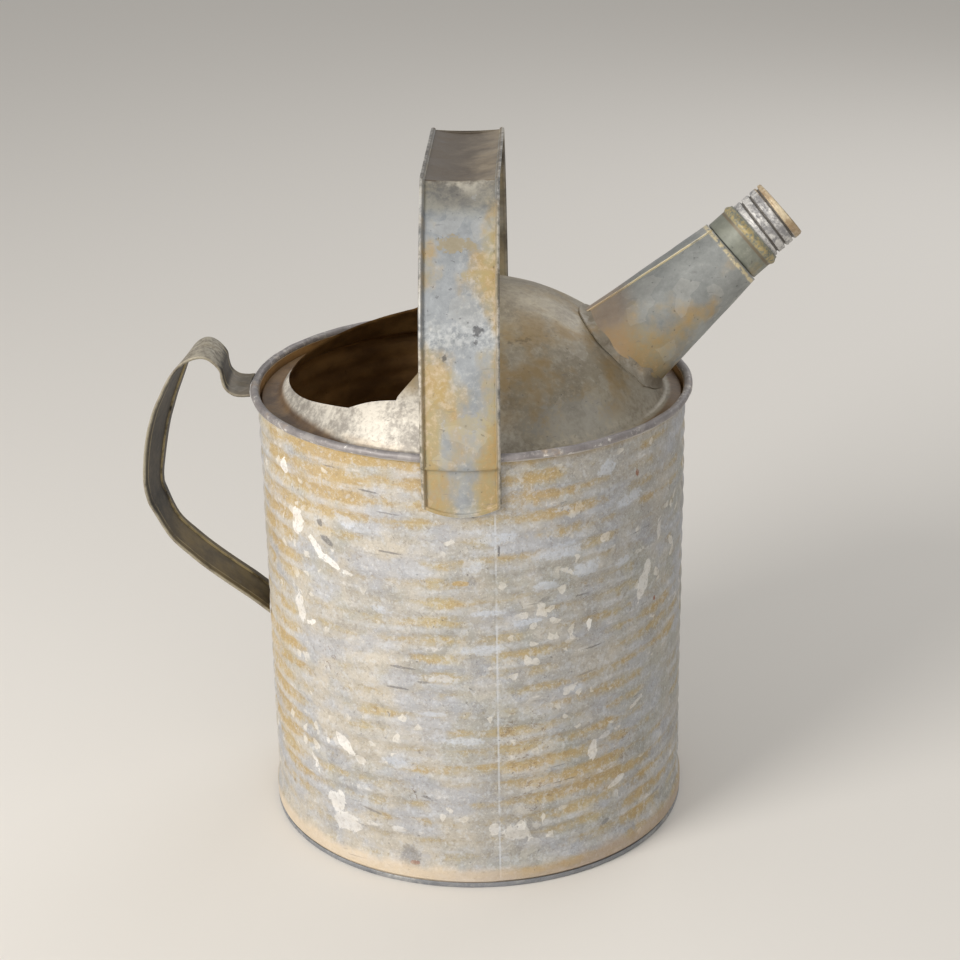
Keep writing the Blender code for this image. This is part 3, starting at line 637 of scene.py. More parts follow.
def paintSpout(spot, colour, seen):
    x, y, s = onSpout(spot)
    middle, fine = seen["middle"], seen["fine"]
    bearing = y.math("ARCTAN2", x * -1.0) * -1.0          # 0 on the upper side, grows toward the near side
    line = (bearing - math.radians(12) - (s - 40 * mm) * math.radians(270)).math("ABSOLUTE")
    colour = (line.step(0.034, 0.012) * middle.step(0.32, 0.50) * 0.75).blend(colour, (230, 216, 178))
    # painted highlight: a cream line along the tube's end edge by the collar
    seam = (s - 64.2 * mm + (middle - 0.5) * (3 * mm)).math("ABSOLUTE").step(1.3 * mm, 0.5 * mm)
    colour = (seam * fine.step(0.36, 0.52) * 0.8).blend(colour, (220, 204, 162))
    pink = (s + x * 0.9).step(8 * mm, -8 * mm)
    colour = (pink * 0.5).blend(colour, (176, 146, 116))
    taper = (spout["footRadius"] - spout["endRadius"]) / spout["tube"]
    bore = (x * x + y * y).math("SQRT") + s * taper - spout["footRadius"] * mm
    return (bore.step(-0.30 * mm, -0.42 * mm) * 0.9).blend(colour, "umber")


def paintCollar(spot, colour, seen):
    s = onSpout(spot)[2]
    bead = (s - 76.7 * mm).math("ABSOLUTE").step(2.4 * mm, 1.2 * mm) * seen["fine"].step(0.40, 0.58)
    colour = (bead * 0.65).blend(colour, (190, 166, 104))
    brown = (s - 74.0 * mm).math("ABSOLUTE").step(1.0 * mm, 0.3 * mm)
    return (brown * 0.6).blend(colour, (106, 84, 54))


def paintThread(spot, colour, seen):
    x, y, s = onSpout(spot)
    middle, fine = seen["middle"], seen["fine"]
    r = (x * x + y * y).math("SQRT")
    crest = r + (fine - 0.5) * (0.5 * mm)
    white = (fine * 0.6 + middle * 0.5).step(0.46, 0.62).blend((132, 131, 132), (208, 206, 202))
    colour = (crest.step(13.3 * mm, 13.8 * mm) * 0.85).blend(colour, white)
    colour = (crest.step(13.5 * mm, 13.0 * mm) * 0.85).blend(colour, (88, 82, 74))
    last = s.step(90.6 * mm, 91.6 * mm) * crest.step(13.0 * mm, 13.6 * mm)
    colour = (last * 0.75).blend(colour, middle.step(0.35, 0.65).blend((168, 138, 94), (214, 196, 156)))
    return r.step(12.6 * mm, 12.2 * mm).blend(colour, (92, 70, 46))


plainLook = {
    "scale": 22.0, "shift": 0.0, "grain": (1, 1, 1), "warmth": 0.10, "warmMost": 0.75, "pale": 0.25,
    "specks": 0.4, "rough": 0.5, "metallic": 0.2, "depth": 0.2 * mm,
}

looks = {
    # cold tone, its dark, ochre, tan, and what differs from the plain look
    "rim": ((162, 157, 156), (112, 106, 106), (190, 148, 80), (164, 150, 130), {
        "scale": 30.0, "shift": 24.0, "warmth": 0.06, "pale": 0.35, "paint": paintRim}),
    "hood": ((172, 164, 146), (114, 102, 82), (144, 114, 66), (142, 124, 94), {
        "scale": 18.0, "shift": 2.0, "warmth": 0.24, "warmMost": 0.7, "pale": 0.12, "rough": 0.42,
        "metallic": 0.3, "depth": 0.25 * mm, "paint": paintHood}),
    "strap": ((172, 176, 180), (122, 126, 128), (170, 138, 74), (164, 150, 106), {
        "scale": 26.0, "shift": 5.0, "grain": (1, 1, 0.35), "warmth": 0.12, "warmMost": 0.85, "rough": 0.45,
        "warmer": warmHoop, "paint": paintHoop}),
    "rear strap": ((142, 132, 116), (94, 85, 72), (132, 112, 70), (124, 112, 84), {
        "shift": 8.0, "warmth": 0.20, "pale": 0.1, "metallic": 0.3, "paint": paintRear}),
    "spout": ((164, 166, 163), (112, 115, 114), (172, 138, 74), (160, 146, 110), {
        "scale": 20.0, "shift": 12.0, "warmth": 0.08, "warmMost": 0.8, "pale": 0.14, "rough": 0.45,
        "metallic": 0.25, "warmer": warmSpout, "paint": paintSpout}),
    "collar": ((138, 140, 128), (98, 101, 92), (160, 136, 82), (158, 144, 108), {
        "scale": 34.0, "shift": 15.0, "pale": 0.08, "paint": paintCollar}),
    "thread": ((190, 188, 186), (148, 144, 142), (176, 146, 88), (190, 172, 132), {
        "scale": 40.0, "shift": 18.0, "warmth": 0.05, "pale": 0.4, "specks": 0.6, "depth": 0.3 * mm,
        "paint": paintThread}),
    "base": ((150, 152, 156), (110, 112, 116), (190, 148, 80), (186, 168, 128), {
        "shift": 21.0, "warmth": 0.0}),
    "solder": ((166, 158, 142), (116, 104, 86), (158, 126, 78), (176, 152, 118), {
        "scale": 34.0, "shift": 27.0, "warmth": 0.2, "pale": 0.15}),
}


def zinc(name):
    cold, coldDark, ochre, tan, own = looks[name]
    look = dict(plainLook, cold=cold, coldDark=coldDark, ochre=ochre, tan=tan)
    return patina(name + " zinc", dict(look, **own))


# wall: one ribbed sheet rolled round the can and lapped over itself, by a rule in Geometry Nodes

wall = {
    "Radius": 96.3 * mm, "Grow": 0.3 * mm, "Low": 1.2 * mm, "High": 206.2 * mm,
    "Rib pitch": 9.02 * mm, "Rib depth": 0.85 * mm, "Lean": 4.75 * mm, "First crest": 19.2 * mm,
    "Lap azimuth": math.radians(-93.0), "Lap": math.radians(10.0), "Lap step": 0.28 * mm,
    "Foot flare": 1.35 * mm, "Dents": 1.1 * mm, "Wander": 2.4 * mm,
}


def wallTree(material):
    tree = bpy.data.node_groups.new("ribbedSheet", "GeometryNodeTree")
    tree.interface.new_socket("Geometry", in_out="INPUT", socket_type="NodeSocketGeometry")
    tree.interface.new_socket("Geometry", in_out="OUTPUT", socket_type="NodeSocketGeometry")
    sockets = {}
    for name in wall:
        sockets[name] = tree.interface.new_socket(name, in_out="INPUT", socket_type="NodeSocketFloat")
    start = Wire(tree)
    given = start.node("NodeGroupInput")
    size = {name: given.part(name) for name in wall}
    columns, rows = 251, 176
    grid = start.node("GeometryNodeMeshGrid", {}, {
        "Size X": 1.0, "Size Y": 1.0, "Vertices X": columns, "Vertices Y": rows})
    x, y, _ = start.node("GeometryNodeInputPosition").axes()
    u, v = x + 0.5, y + 0.5
    a = size["Lap azimuth"] + u * (size["Lap"] + math.tau)
    z = size["Low"] + v * (size["High"] - size["Low"])
    face = wallFace * mm
    flat = a.node("ShaderNodeCombineXYZ", {}, {0: a.math("COSINE") * face, 1: a.math("SINE") * face, 2: z})

    def rough(scale, detail):
        return flat.node("ShaderNodeTexNoise", {}, {"Vector": flat, "Scale": scale, "Detail": detail})

    wander = (rough(22.0, 2.0) - 0.5) * size["Wander"]
    phase = (z - a.math("COSINE") * size["Lean"] - size["First crest"] + wander) / size["Rib pitch"]
    strength = rough(16.0, 3.0).step(0.30, 0.66)
    ends = z.step(11 * mm, 20 * mm) * z.step(202 * mm, 196 * mm)
    seam = u * 370.0                    # degrees from the hidden edge to the edge that shows
    clear = seam.step(8.0, 16.0) * seam.step(362.0, 354.0)
    ribs = (phase * math.tau).math("COSINE") * size["Rib depth"] * 0.5 * (strength * 0.8 + 0.25)
    ribs = ribs * ends * (clear * 0.8 + 0.2)
    dents = (rough(26.0, 2.5) - 0.5) * size["Dents"] * z.step(4 * mm, 30 * mm) * z.step(204 * mm, 190 * mm)
    foot = size["Foot flare"] * z.step(15 * mm, 8 * mm) - z.step(3.6 * mm, 2.4 * mm) * (1.4 * mm)
    lap = size["Lap step"] * seam.step(350.0, 360.0) * (1.0 - seam.step(368.4, 370.0) * 0.80)
    r = size["Radius"] + size["Grow"] * v + ribs + dents + foot + lap
    out = a.node("ShaderNodeCombineXYZ", {}, {
        0: a.math("COSINE") * r + canAxis.x, 1: a.math("SINE") * r + canAxis.y, 2: z})
    moved = start.node("GeometryNodeSetPosition", {}, {"Geometry": grid, "Position": out})
    smooth = start.node("GeometryNodeSetShadeSmooth", {}, {"Geometry": moved})
    real = start.node("GeometryNodeRealizeInstances", {}, {"Geometry": smooth})
    dressed = start.node("GeometryNodeSetMaterial", {}, {"Geometry": real, "Material": material})
    start.node("NodeGroupOutput", {}, {0: dressed})
    return tree, sockets


def carryFields(mesh):
    # writes the wear by place on the wall's points: its stains, chips, cold streaks and scribbles
    points = np.empty(len(mesh.vertices) * 3)
    mesh.vertices.foreach_get("co", points)
    points = points.reshape(-1, 3) - np.array(canAxis)

    def away(azimuth, height, across, along, tilt=0.0):
        centre, axes, reach = onWall(azimuth, height, across, along, tilt)
        return np.linalg.norm((points - centre) @ np.array(axes) / reach, axis=1)

    fields = {"stain": np.zeros(len(points)), "chipMost": np.zeros(len(points))}
    for name in ("chip", "streak", "scribble"):
        fields[name] = np.full(len(points), -1.5)
    for azimuth, height, reach, gain in wallLook["stains"]:
        near = np.clip((1.35 - away(azimuth, height, reach, reach)) / 1.2, 0.0, 1.0)
        fields["stain"] += near * near * (3 - 2 * near) * gain
    for azimuth, height, across, along, tilt, most in wallLook["chips"]:
        near = 1.0 - away(azimuth, height, across, along, tilt)
        fields["chipMost"] = np.where(near > fields["chip"], most, fields["chipMost"])
        fields["chip"] = np.maximum(fields["chip"], near)
    for azimuth, height, across, along, tilt, most in wallLook["streaks"]:
        near = 1.0 - away(azimuth, height, across, along, tilt) - (0.6 - most)
        fields["streak"] = np.maximum(fields["streak"], near)
    for azimuth, height, across, along in wallLook["scribbles"]:
        fields["scribble"] = np.maximum(fields["scribble"], 1.0 - away(azimuth, height, across, along))
    for name, values in fields.items():
        mesh.attributes.new(name, "FLOAT", "POINT").data.foreach_set("value", values.astype(np.float32))


def makeWall():
    tree, sockets = wallTree(wallMaterial())
    obj = bpy.data.objects.new("wallSheet", bpy.data.meshes.new("wallSheet"))
    bpy.context.scene.collection.objects.link(obj)
    mod = obj.modifiers.new("ribbed sheet", "NODES")
    mod.node_group = tree
    for name, socket in sockets.items():
        mod[socket.identifier] = wall[name]
    thick = obj.modifiers.new("sheet", "SOLIDIFY")
    thick.thickness = 0.7 * mm
    thick.offset = -1.0
    applied(obj)
    obj.data.set_sharp_from_angle(angle=math.radians(40))
    carryFields(obj.data)
    place(obj, "body_wall")
    print("wall", len(obj.data.polygons), "faces")


rim = {"radius": 98.15, "height": 206.8, "bead": 1.85, "columns": 260}


def makeRim():
    def wobble(a, r, z):
        spot = Vector((math.cos(a), math.sin(a), 0.0)) * 5.0
        fine = noise.noise(Vector((math.cos(a) * 22, math.sin(a) * 22, z * 900))) * 0.12 * mm
        return noise.noise(spot) * 0.25 * mm + fine, noise.noise(spot * 1.7 + Vector((3, 3, 3))) * 0.3 * mm
    section = arcPoints(rim["radius"] * mm, rim["height"] * mm, rim["bead"] * mm, 190, -125, 14)
    inner = arcPoints(rim["radius"] * mm, rim["height"] * mm, (rim["bead"] - 0.7) * mm, -125, 190, 10)
    bm = gridMesh(spinRows(section + inner, rim["columns"], wobble), loopClosed=True)
    place(makeObject("rimCurl", bm, zinc("rim"), 60), "body_wall")
    print("rim done")


base = {"leg": 94.3, "seam": 97.5, "recess": 3.0, "sheet": 0.7, "lip": 2.3}


def makeBase():
    leg, seam, recess, sheet, lip = (base[key] * mm for key in ("leg", "seam", "recess", "sheet", "lip"))
    profile = [(0.0, recess), (leg - 2.5 * mm, recess), (leg - 0.9 * mm, recess - 0.5 * mm),
               (leg - sheet, 1.4 * mm), (leg - sheet, 0.3 * mm), (leg, 0.0)]
    profile += arcPoints(seam - 0.8 * mm, 0.8 * mm, 0.8 * mm, -90, 0, 4)
    profile += [(seam, lip - 0.2 * mm), (seam - 0.3 * mm, lip + 0.1 * mm), (seam - sheet, lip),
                (seam - sheet, sheet), (leg, sheet), (leg, recess), (leg - 2.0 * mm, recess + sheet),
                (0.0, recess + sheet)]
    bm = gridMesh(spinRows(profile, 220), ringClosed=False, loopClosed=True)
    place(makeObject("basePlate", bm, zinc("base"), 40), "bottom_plate")
    print("base done")


# hood: dome, sunk channel and inner lip, with the mouth cut out of it

hood = {
    "top": 253.2, "sphere": 101.0, "channel": 203.2, "fillet": 3.0, "lip": 95.3, "lipDrop": 3.8, "sheet": 0.7,
    "mouthRear": (-9.5, 73.0), "mouthFront": (-71.0, 78.5), "cornerX": -50.5, "stepX": -29.0, "step": 1.0,
    "frontEnd": 25.0, "farX": -34.5,
    "farBend": [(0.1, 33.2), (-2.0, 44.0), (-7.5, 56.0), (-17.0, 66.2), (-27.7, 70.0), (-34.5, 68.6)],
}


def hoodLine(lift):
    centreZ = hood["top"] - hood["sphere"]
    filletZ = hood["channel"] + hood["fillet"]
    filletR = math.sqrt((hood["sphere"] + hood["fillet"]) ** 2 - (filletZ - centreZ) ** 2)
    meet = math.degrees(math.atan2(filletZ - centreZ, filletR))
    line = arcPoints(0.0, centreZ, hood["sphere"] + lift, 90, meet, 56)
    line[0] = (0.0, line[0][1])
    line += arcPoints(filletR, filletZ, hood["fillet"] - lift, 180 + meet, 270, 7)[1:]
    lipR = hood["lip"]
    line += arcPoints(lipR - 0.9, hood["channel"] - 0.9, 0.9 + lift, 90, 0, 5)
    line.append((lipR + lift, hood["channel"] - hood["lipDrop"]))
    return [(r * mm, z * mm) for r, z in line]


def hoodWobble(a, r, z):
    spot = Vector((r * math.cos(a), r * math.sin(a), z))
    calm = min(1.0, r / (20 * mm)) * min(1.0, max(0.0, (89 * mm - r) / (8 * mm)))
    push = noise.noise(spot * 24) * 1.1 * mm + noise.noise(spot * 70) * 0.25 * mm
    ridge = 0.5 * mm * math.exp(-((r - 86 * mm) / (2.5 * mm)) ** 2)
    return 0.0, push * calm + ridge


def mouthOutline():
    # rear arc, a straight clip and a small step on the near side, front arc, and a rounded far bend
    rearX, rearR = hood["mouthRear"]
    frontX, frontR = hood["mouthFront"]
    corner = math.degrees(math.acos((hood["cornerX"] - rearX) / rearR))
    far = math.degrees(math.acos((hood["farX"] - rearX) / rearR))
    step = math.degrees(math.acos((hood["stepX"] - frontX) / frontR))
    stepY = frontR * math.sin(math.radians(step))
    outline = arcPoints(rearX, 0.0, rearR, far, 360 - corner, 60)
    outline.append((hood["stepX"] - hood["step"] / 2, -stepY - hood["step"]))
    outline += arcPoints(frontX, 0.0, frontR, -step, hood["frontEnd"], 36)
    return outline[:-1] + smoothTable(hood["farBend"], 5)[:-1]


def makeHood():
    top, under = hoodLine(0.0), hoodLine(-hood["sheet"])
    bm = gridMesh(spinRows(top + under[::-1], 200, hoodWobble), ringClosed=False, loopClosed=True)
    obj = makeObject("hoodSheet", bm, zinc("hood"), 45)
    tool = bmesh.new()
    low = [tool.verts.new((x * mm, y * mm, 190 * mm)) for x, y in mouthOutline()]
    face = tool.faces.new(low)
    up = bmesh.ops.extrude_face_region(tool, geom=[face])["geom"]
    bmesh.ops.translate(tool, verts=[v for v in up if isinstance(v, bmesh.types.BMVert)], vec=(0, 0, 0.08))
    mouthTool = makeObject("mouthTool", tool, obj.data.materials[0])
    pour = bmesh.new()
    bmesh.ops.create_cone(pour, cap_ends=True, segments=40, radius1=spout["pourHole"] * mm,
                          radius2=spout["pourHole"] * mm, depth=0.07)
    bmesh.ops.transform(pour, matrix=spoutFrame(), verts=pour.verts)
    pourTool = makeObject("pourTool", pour, obj.data.materials[0])
    for tool in (mouthTool, pourTool):
        mod = obj.modifiers.new("cut", "BOOLEAN")
        mod.object = tool
        mod.solver = "EXACT"
    applied(obj)
    for tool in (mouthTool, pourTool):
        bpy.data.objects.remove(tool, do_unlink=True)
    obj.data.set_sharp_from_angle(angle=math.radians(45))
    place(obj, "hood")
    print("hood", len(obj.data.polygons), "faces")


# spout: tapered tube, its solder, collar and threaded neck

spout = {
    "foot": (67.0, -1.5, 221.8), "rise": 40.3, "yaw": 9.2, "footRadius": 22.85, "endRadius": 15.6,
    "tube": 65.5, "sheet": 0.7, "lapBearing": 183.0, "lap": 9.0, "lapTwist": 0.27, "collar": 15.4,
    "collarLength": 13.4, "bead": 16.2, "neckLength": 15.9, "thread": 14.35, "threadDepth": 1.25,
    "pitch": 4.5, "bore": 12.0, "pourHole": 16.5,
}


def spoutFrame():
    lift = Matrix.Rotation(math.radians(90 - spout["rise"]), 4, "Y")
    yaw = Matrix.Rotation(math.radians(spout["yaw"]), 4, "Z")
    return Matrix.Translation(Vector(spout["foot"]) * mm) @ yaw @ lift


def spoutRadius(s):
    share = s / spout["tube"]
    return spout["footRadius"] + (spout["endRadius"] - spout["footRadius"]) * share


def alongSpout(angle, s, r):
    return spoutFrame() @ (Vector((r * math.cos(angle), r * math.sin(angle), s)) * mm)


def footStart(angle, lift):
    # where the tube's line at this angle meets the dome
    centre = Vector((0, 0, (hood["top"] - hood["sphere"]) * mm))
    low, high = -25.0, 60.0
    for _ in range(40):
        mid = (low + high) / 2
        if (alongSpout(angle, mid, spoutRadius(mid)) - centre).length < (hood["sphere"] + lift) * mm:
            low = mid
        else:
            high = mid
    return high


def makeSpoutTube():
    columns, rows = 150, 40
    grid = []
    for i in range(columns + 1):
        u = i / columns
        turn = math.radians(spout["lapBearing"] + (360 + spout["lap"]) * u)
        over = 0.6 * min(1.0, max(0.0, (u * 369 - 348) / 12))
        start = footStart(turn, 0.35)
        column = []
        for j in range(rows + 1):
            s = start + (spout["tube"] - start) * (j / rows) ** 1.3
            a = turn + math.radians(spout["lapTwist"] * (s - 40))
            wave = noise.noise(Vector((math.cos(a), math.sin(a), s * 0.05)) * 1.6) * 0.25
            column.append(alongSpout(a, s, spoutRadius(s) + over + wave))
        grid.append(column)
    bm = gridMesh(grid, ringClosed=False)
    obj = makeObject("spoutTube", bm, zinc("spout"), 50, recalc=False)
    thick = obj.modifiers.new("sheet", "SOLIDIFY")
    thick.thickness = spout["sheet"] * mm
    thick.offset = -1.0
    applied(obj)
    place(obj, "spout_tube")
    print("spout tube done")


def makeSolder():
    # a hollow fillet of solder round the tube's foot, wider where more of it ran down
    centre = Vector((0, 0, (hood["top"] - hood["sphere"]) * mm))
    rings = []
    for i in range(120):
        a = math.tau * i / 120
        wide = 3.6 + 1.6 * noise.noise(Vector((math.cos(a), math.sin(a), 2.0)) * 2.2)
        wide += 2.2 * math.exp(-((math.degrees(a) - 292) / 7.0) ** 2)
        s = footStart(a, 0.35)
        low = alongSpout(a, s, spoutRadius(s))
        high = alongSpout(a, s + wide, spoutRadius(s + wide) + 0.75)
        outward = alongSpout(a, s, spoutRadius(s) + wide) - centre
        out = centre + outward.normalized() * (hood["sphere"] + 0.55) * mm
        corner = centre + (low - centre).normalized() * (hood["sphere"] + 1.1) * mm
        ring = []
        for j in range(7):
            t = j / 6
            ring.append(high * (1 - t) ** 2 + corner * (2 * t * (1 - t)) + out * t ** 2)
        sunk = centre + (out - centre).normalized() * (hood["sphere"] - 0.2) * mm
        root = centre + (low - centre).normalized() * (hood["sphere"] - 0.2) * mm
        rings.append(ring + [sunk, root, alongSpout(a, s + wide, spoutRadius(s + wide) - 0.1)])
    place(makeObject("spoutSolder", gridMesh(rings, loopClosed=True), zinc("solder"), 70), None)
    print("solder done")


def makeCollar():
    plug = spout["endRadius"] - spout["sheet"] - 0.3
    low = spout["tube"] + 0.3
    end = low + spout["collarLength"]
    r = spout["collar"]
    outer = [(plug, low - 5), (plug, low - 0.1), (r - 0.2, low), (r, low + 0.3), (r, end - 4.6)]
    swell = spout["bead"] - r
    outer += [(r + swell * math.sin(math.pi * i / 8), end - 4.4 + 3.4 * i / 8) for i in range(1, 8)]
    outer += [(r - 0.1, end - 0.9), (r - 0.3, end)]
    inner = [(plug - 0.7, low - 5), (plug - 0.7, low + 0.7), (r - 0.7, low + 1.4), (r - 0.9, end)]
    m = spoutFrame()
    rows = [[m @ (Vector(p) * mm) for p in row] for row in spinRows(outer + inner[::-1], 120)]
    place(makeObject("spoutCollar", gridMesh(rows, loopClosed=True), zinc("collar"), 40), "spout_collar")
    print("collar done")


def makeThread():
    seat = spout["tube"] + 0.3 + spout["collarLength"]
    top = seat + spout["neckLength"] - 0.3
    crest = spout["thread"]
    root = crest - spout["threadDepth"]
    steps = 72
    rows = []
    for i in range(160):
        a = math.tau * i / 160
        loop = [(spout["bore"], seat - 8), (14.2, seat - 8), (14.2, seat + 0.2)]
        for j in range(steps + 1):
            z = seat + 0.3 + (top - 0.5 - seat - 0.3) * j / steps
            phase = ((z - seat) / spout["pitch"] + a / math.tau + 0.15) % 1.0
            groove = min(1.0, 1.5 * math.exp(-((phase - 0.5) / 0.11) ** 4))
            fade = min(1.0, max(0.0, (z - seat - 0.2) / 1.0)) * min(1.0, max(0.35, (top - z) / 1.4))
            spot = Vector((math.cos(a) * 3, math.sin(a) * 3, z * 0.6))
            chip = 0.16 * noise.noise(spot * 2.2) + 0.10 * noise.noise(spot * 6)
            r = crest - spout["threadDepth"] * groove * fade + chip - 0.12
            loop.append((max(r, root - 0.2), z))
        loop += [(crest - 0.6, top - 0.1), (spout["bore"] + 0.7, top), (spout["bore"], top - 0.6)]
        rows.append([alongSpout(a, z, r) for r, z in loop])
    place(makeObject("neckThread", gridMesh(rows, loopClosed=True), zinc("thread"), 50), "threaded_neck")
    print("thread done")


# the two strap handles

def rolledSection(half, roll, sheet):
    # one closed ring: out along the outer face, round the rolled edge and back along the inner face
    n = 9
    flat = half - 2 * roll
    outer = [(flat * (1 - i / n), sheet) for i in range(n + 1)]
    edge = arcPoints(half - roll, roll, roll, 200, -60, 9)[::-1]
    right = edge + outer
    inner = [(half - roll * 1.2, 0.0), (flat, 0.0)] + [(flat * (1 - i / n), 0.0) for i in range(1, n + 1)]
    pad = len(right) - len(inner)
    inner = [(half - roll * (0.55 + 0.6 * i / pad), 0.0) for i in range(pad)] + inner
    return right + [(-u, v) for u, v in right[-2::-1]], inner + [(-u, v) for u, v in inner[-2::-1]]


hoop = {
    "width": 33.4, "shift": -1.4, "roll": 1.05, "sheet": 0.7, "top": 311.6, "halfSpan": 48.2, "footLean": 6.0,
    "fold": 3.5, "nearDish": 4.0, "farDish": 2.2, "topRoll": 0.4, "tabEnd": 180.9, "tabCurve": 4.0,
    "wall": 97.25, "rim": 100.3, "slope": 0.8,
}


def hoopKeys():
    # distance out, height, lean, dish share, wrap share, end curve share, swell
    wallR, rimR, end = hoop["wall"], hoop["rim"], hoop["tabEnd"]
    # the tab on the wall: distance out, height above its end, lean, end curve share, swell
    tab = [
        (0, 0, 0, 1, 1), (0, 0.5, 0, 1, 1), (0, 1.3, 0, 1, 1), (0, 2.1, 0, 0.95, 0), (0, 5, 0, 0.75, 0),
        (0, 10, 0, 0.35, 0), (0, 15, 0, 0.05, 0), (0, 19.5, 0, 0, 0), (0.1, 20.9, 0, 0, 0),
        (0.6, 21.6, -20, 0, 0.9), (1.6, 22.5, -30, 0, 1.1), (2.6, 23.4, -20, 0, 0.4),
        (rimR - wallR, 24.8, 0, 0, 0),
    ]
    keys = [(wallR + out, end + up, lean, 0.0, 1.0, curve, swell) for out, up, lean, curve, swell in tab]
    startZ = 208.65
    rise, run = hoop["top"] - startZ, rimR - hoop["halfSpan"]
    foot = math.radians(hoop["footLean"])
    head = 2 * math.atan2(run, rise) - foot
    radius = math.hypot(run, rise) / (2 * math.sin((head - foot) / 2))
    stop = head - hoop["fold"] * math.tan((math.pi / 2 - head) / 2) / radius
    for i in range(13):
        a = foot + (stop - foot) * i / 12
        out = rimR - radius * (math.cos(foot) - math.cos(a))
        high = startZ + radius * (math.sin(a) - math.sin(foot))
        dish = 0.35 * max(0.0, i / 12 - 0.7) / 0.3
        keys.append((out, high, math.degrees(a), dish, max(0.0, 1 - 2.2 * i / 12), 0.0, 0.0))
    out, _, lean = keys[-1][:3]
    foldZ = hoop["top"] - hoop["fold"]
    foldOut = out - hoop["fold"] * math.cos(math.radians(lean))
    for i in range(1, 6):
        a = math.radians(lean + (90 - lean) * i / 5)
        out, high = foldOut + hoop["fold"] * math.cos(a), foldZ + hoop["fold"] * math.sin(a)
        keys.append((out, high, math.degrees(a), 0.35 + 0.13 * i, 0.0, 0.0, 0.0))
    level = keys[-1][0]
    keys += [(level * share, hoop["top"], 90.0, 1.0, 0.0, 0.0, 0.0) for share in (0.85, 0.6, 0.3, 0.0)]
    return keys


def makeHoop():
    top, bottom = rolledSection(hoop["width"] / 2, hoop["roll"], hoop["sheet"])
    ring = top + bottom[::-1]
    half = smoothTable(hoopKeys(), 4)
    stations = [(-1, s) for s in half] + [(1, s) for s in half[-2::-1]]
    rows = []
    for side, (out, high, lean, dish, wrap, end, swell) in stations:
        a = math.radians(lean)
        normal, tangent = (math.cos(a), math.sin(a)), (-math.sin(a), math.cos(a))
        reach = min(1.0, 0.5 + side * out / hoop["halfSpan"] / 2)
        deep = min(hoop["nearDish"], hoop["nearDish"] + (hoop["farDish"] - hoop["nearDish"]) * reach)
        row = []
        for u, v in ring:
            share = (2 * u / hoop["width"]) ** 2
            if v > 0.3 and swell > 0:
                v = max(v, hoop["sheet"] + 1.1 * swell)
            if v > hoop["sheet"]:
                v -= (v - hoop["sheet"]) * (1 - hoop["topRoll"]) * dish
            sink = -deep * dish * (1 - share)
            if wrap > 0:
                sink -= wrap * (out - math.sqrt(max(out ** 2 - u ** 2, 1.0)))
            slide = hoop["tabCurve"] * end * share
            y = out + normal[0] * (v + sink) + tangent[0] * slide
            z = high + normal[1] * (v + sink) + tangent[1] * slide
            x = hoop["shift"] + u
            spot = Vector((x, side * y, z)) * 0.03
            y += noise.noise(spot) * 0.5 * (1 - wrap) * min(1.0, max(0.0, (z - 212) / 20))
            if z > 250:
                z -= hoop["slope"] * side * y / 46
            row.append((x * mm, side * y * mm, z * mm))
        rows.append(row)
    place(makeObject("carryStrap", gridMesh(rows, capped=True), zinc("strap"), 55), "carrying_handle")
    print("strap done")


rear = {
    "width": 29.0, "turn": 2.0, "hem": 4.2, "sheet": 0.7, "rim": 100.3, "wall": 96.95,
    # distance out, height, and how far the far edge is twisted inwards
    "path": [
        (100.3, 207, 0), (103, 206.9, 0), (106.6, 207.6, 0), (109.6, 210.4, 0), (110.7, 214.6, 0),
        (111.2, 218.2, 0), (113.8, 221.8, 0), (116.9, 224.3, 0), (120.3, 225.3, 0.2), (123.8, 224.8, 0.9),
        (127.2, 223.4, 2), (130.4, 221.2, 3.3), (133.5, 218, 4.5), (136.6, 213.6, 5.6), (139.8, 207.6, 6.3),
        (142.9, 201.4, 6.8), (145.3, 195, 7), (147.5, 187.4, 6.8), (149.3, 177.6, 6.4), (150.2, 165, 5),
        (149, 156, 2.9), (146.6, 150.2, 1.7), (140, 137.6, 0.2), (131, 128, 0), (124.1, 121.6, 0),
        (114.5, 113.8, 0), (104.9, 106.2, 0), (96.95, 99.2, 0),
    ],
}


def makeRear():
    half, hem, fold = rear["width"] / 2, 2 * rear["sheet"], rear["width"] / 2 - rear["hem"]
    back = [(half, -hem * 0.35), (half - 0.15, -0.12), (half - 0.5, 0.0), (fold, 0.0),
            (fold * 0.6, 0.0), (0.0, 0.0)]
    front = [(half, -hem * 0.65), (half - 0.15, -hem + 0.12), (half - 0.5, -hem), (fold, -hem),
             (fold - 0.5, -rear["sheet"]), (0.0, -rear["sheet"])]
    ring = back + [(-u, v) for u, v in back[-2::-1]]
    ring += (front + [(-u, v) for u, v in front[-2::-1]])[::-1]
    line = smoothTable(rear["path"], 5)
    turn = Matrix.Rotation(math.radians(180 + rear["turn"]), 4, "Z")
    rows = []
    for i, (r, z, pull) in enumerate(line):
        before, after = Vector(line[max(i - 1, 0)][:2]), Vector(line[min(i + 1, len(line) - 1)][:2])
        tangent = (after - before).normalized()
        normal = Vector((-tangent.y, tangent.x))
        end = {0: rear["rim"], len(line) - 1: rear["wall"]}.get(i)
        row = []
        for u, v in ring:
            q = Vector((r, z)) + normal * (v - pull * (half - u) / rear["width"])
            if end:
                q += tangent * ((math.sqrt(end ** 2 - u ** 2) - q.x) / tangent.x)
            spot = Vector((q.x, u, q.y)) * 0.04
            row.append(turn @ (Vector((q.x + noise.noise(spot) * 0.3, u, q.y)) * mm))
        rows.append(row)
    place(makeObject("rearStrap", gridMesh(rows, capped=True), zinc("rear strap"), 40), "rear_handle")
    print("rear strap done")


makeWall()
makeRim()
makeBase()
makeHood()
makeSpoutTube()
makeSolder()
makeCollar()
makeThread()
makeHoop()
makeRear()


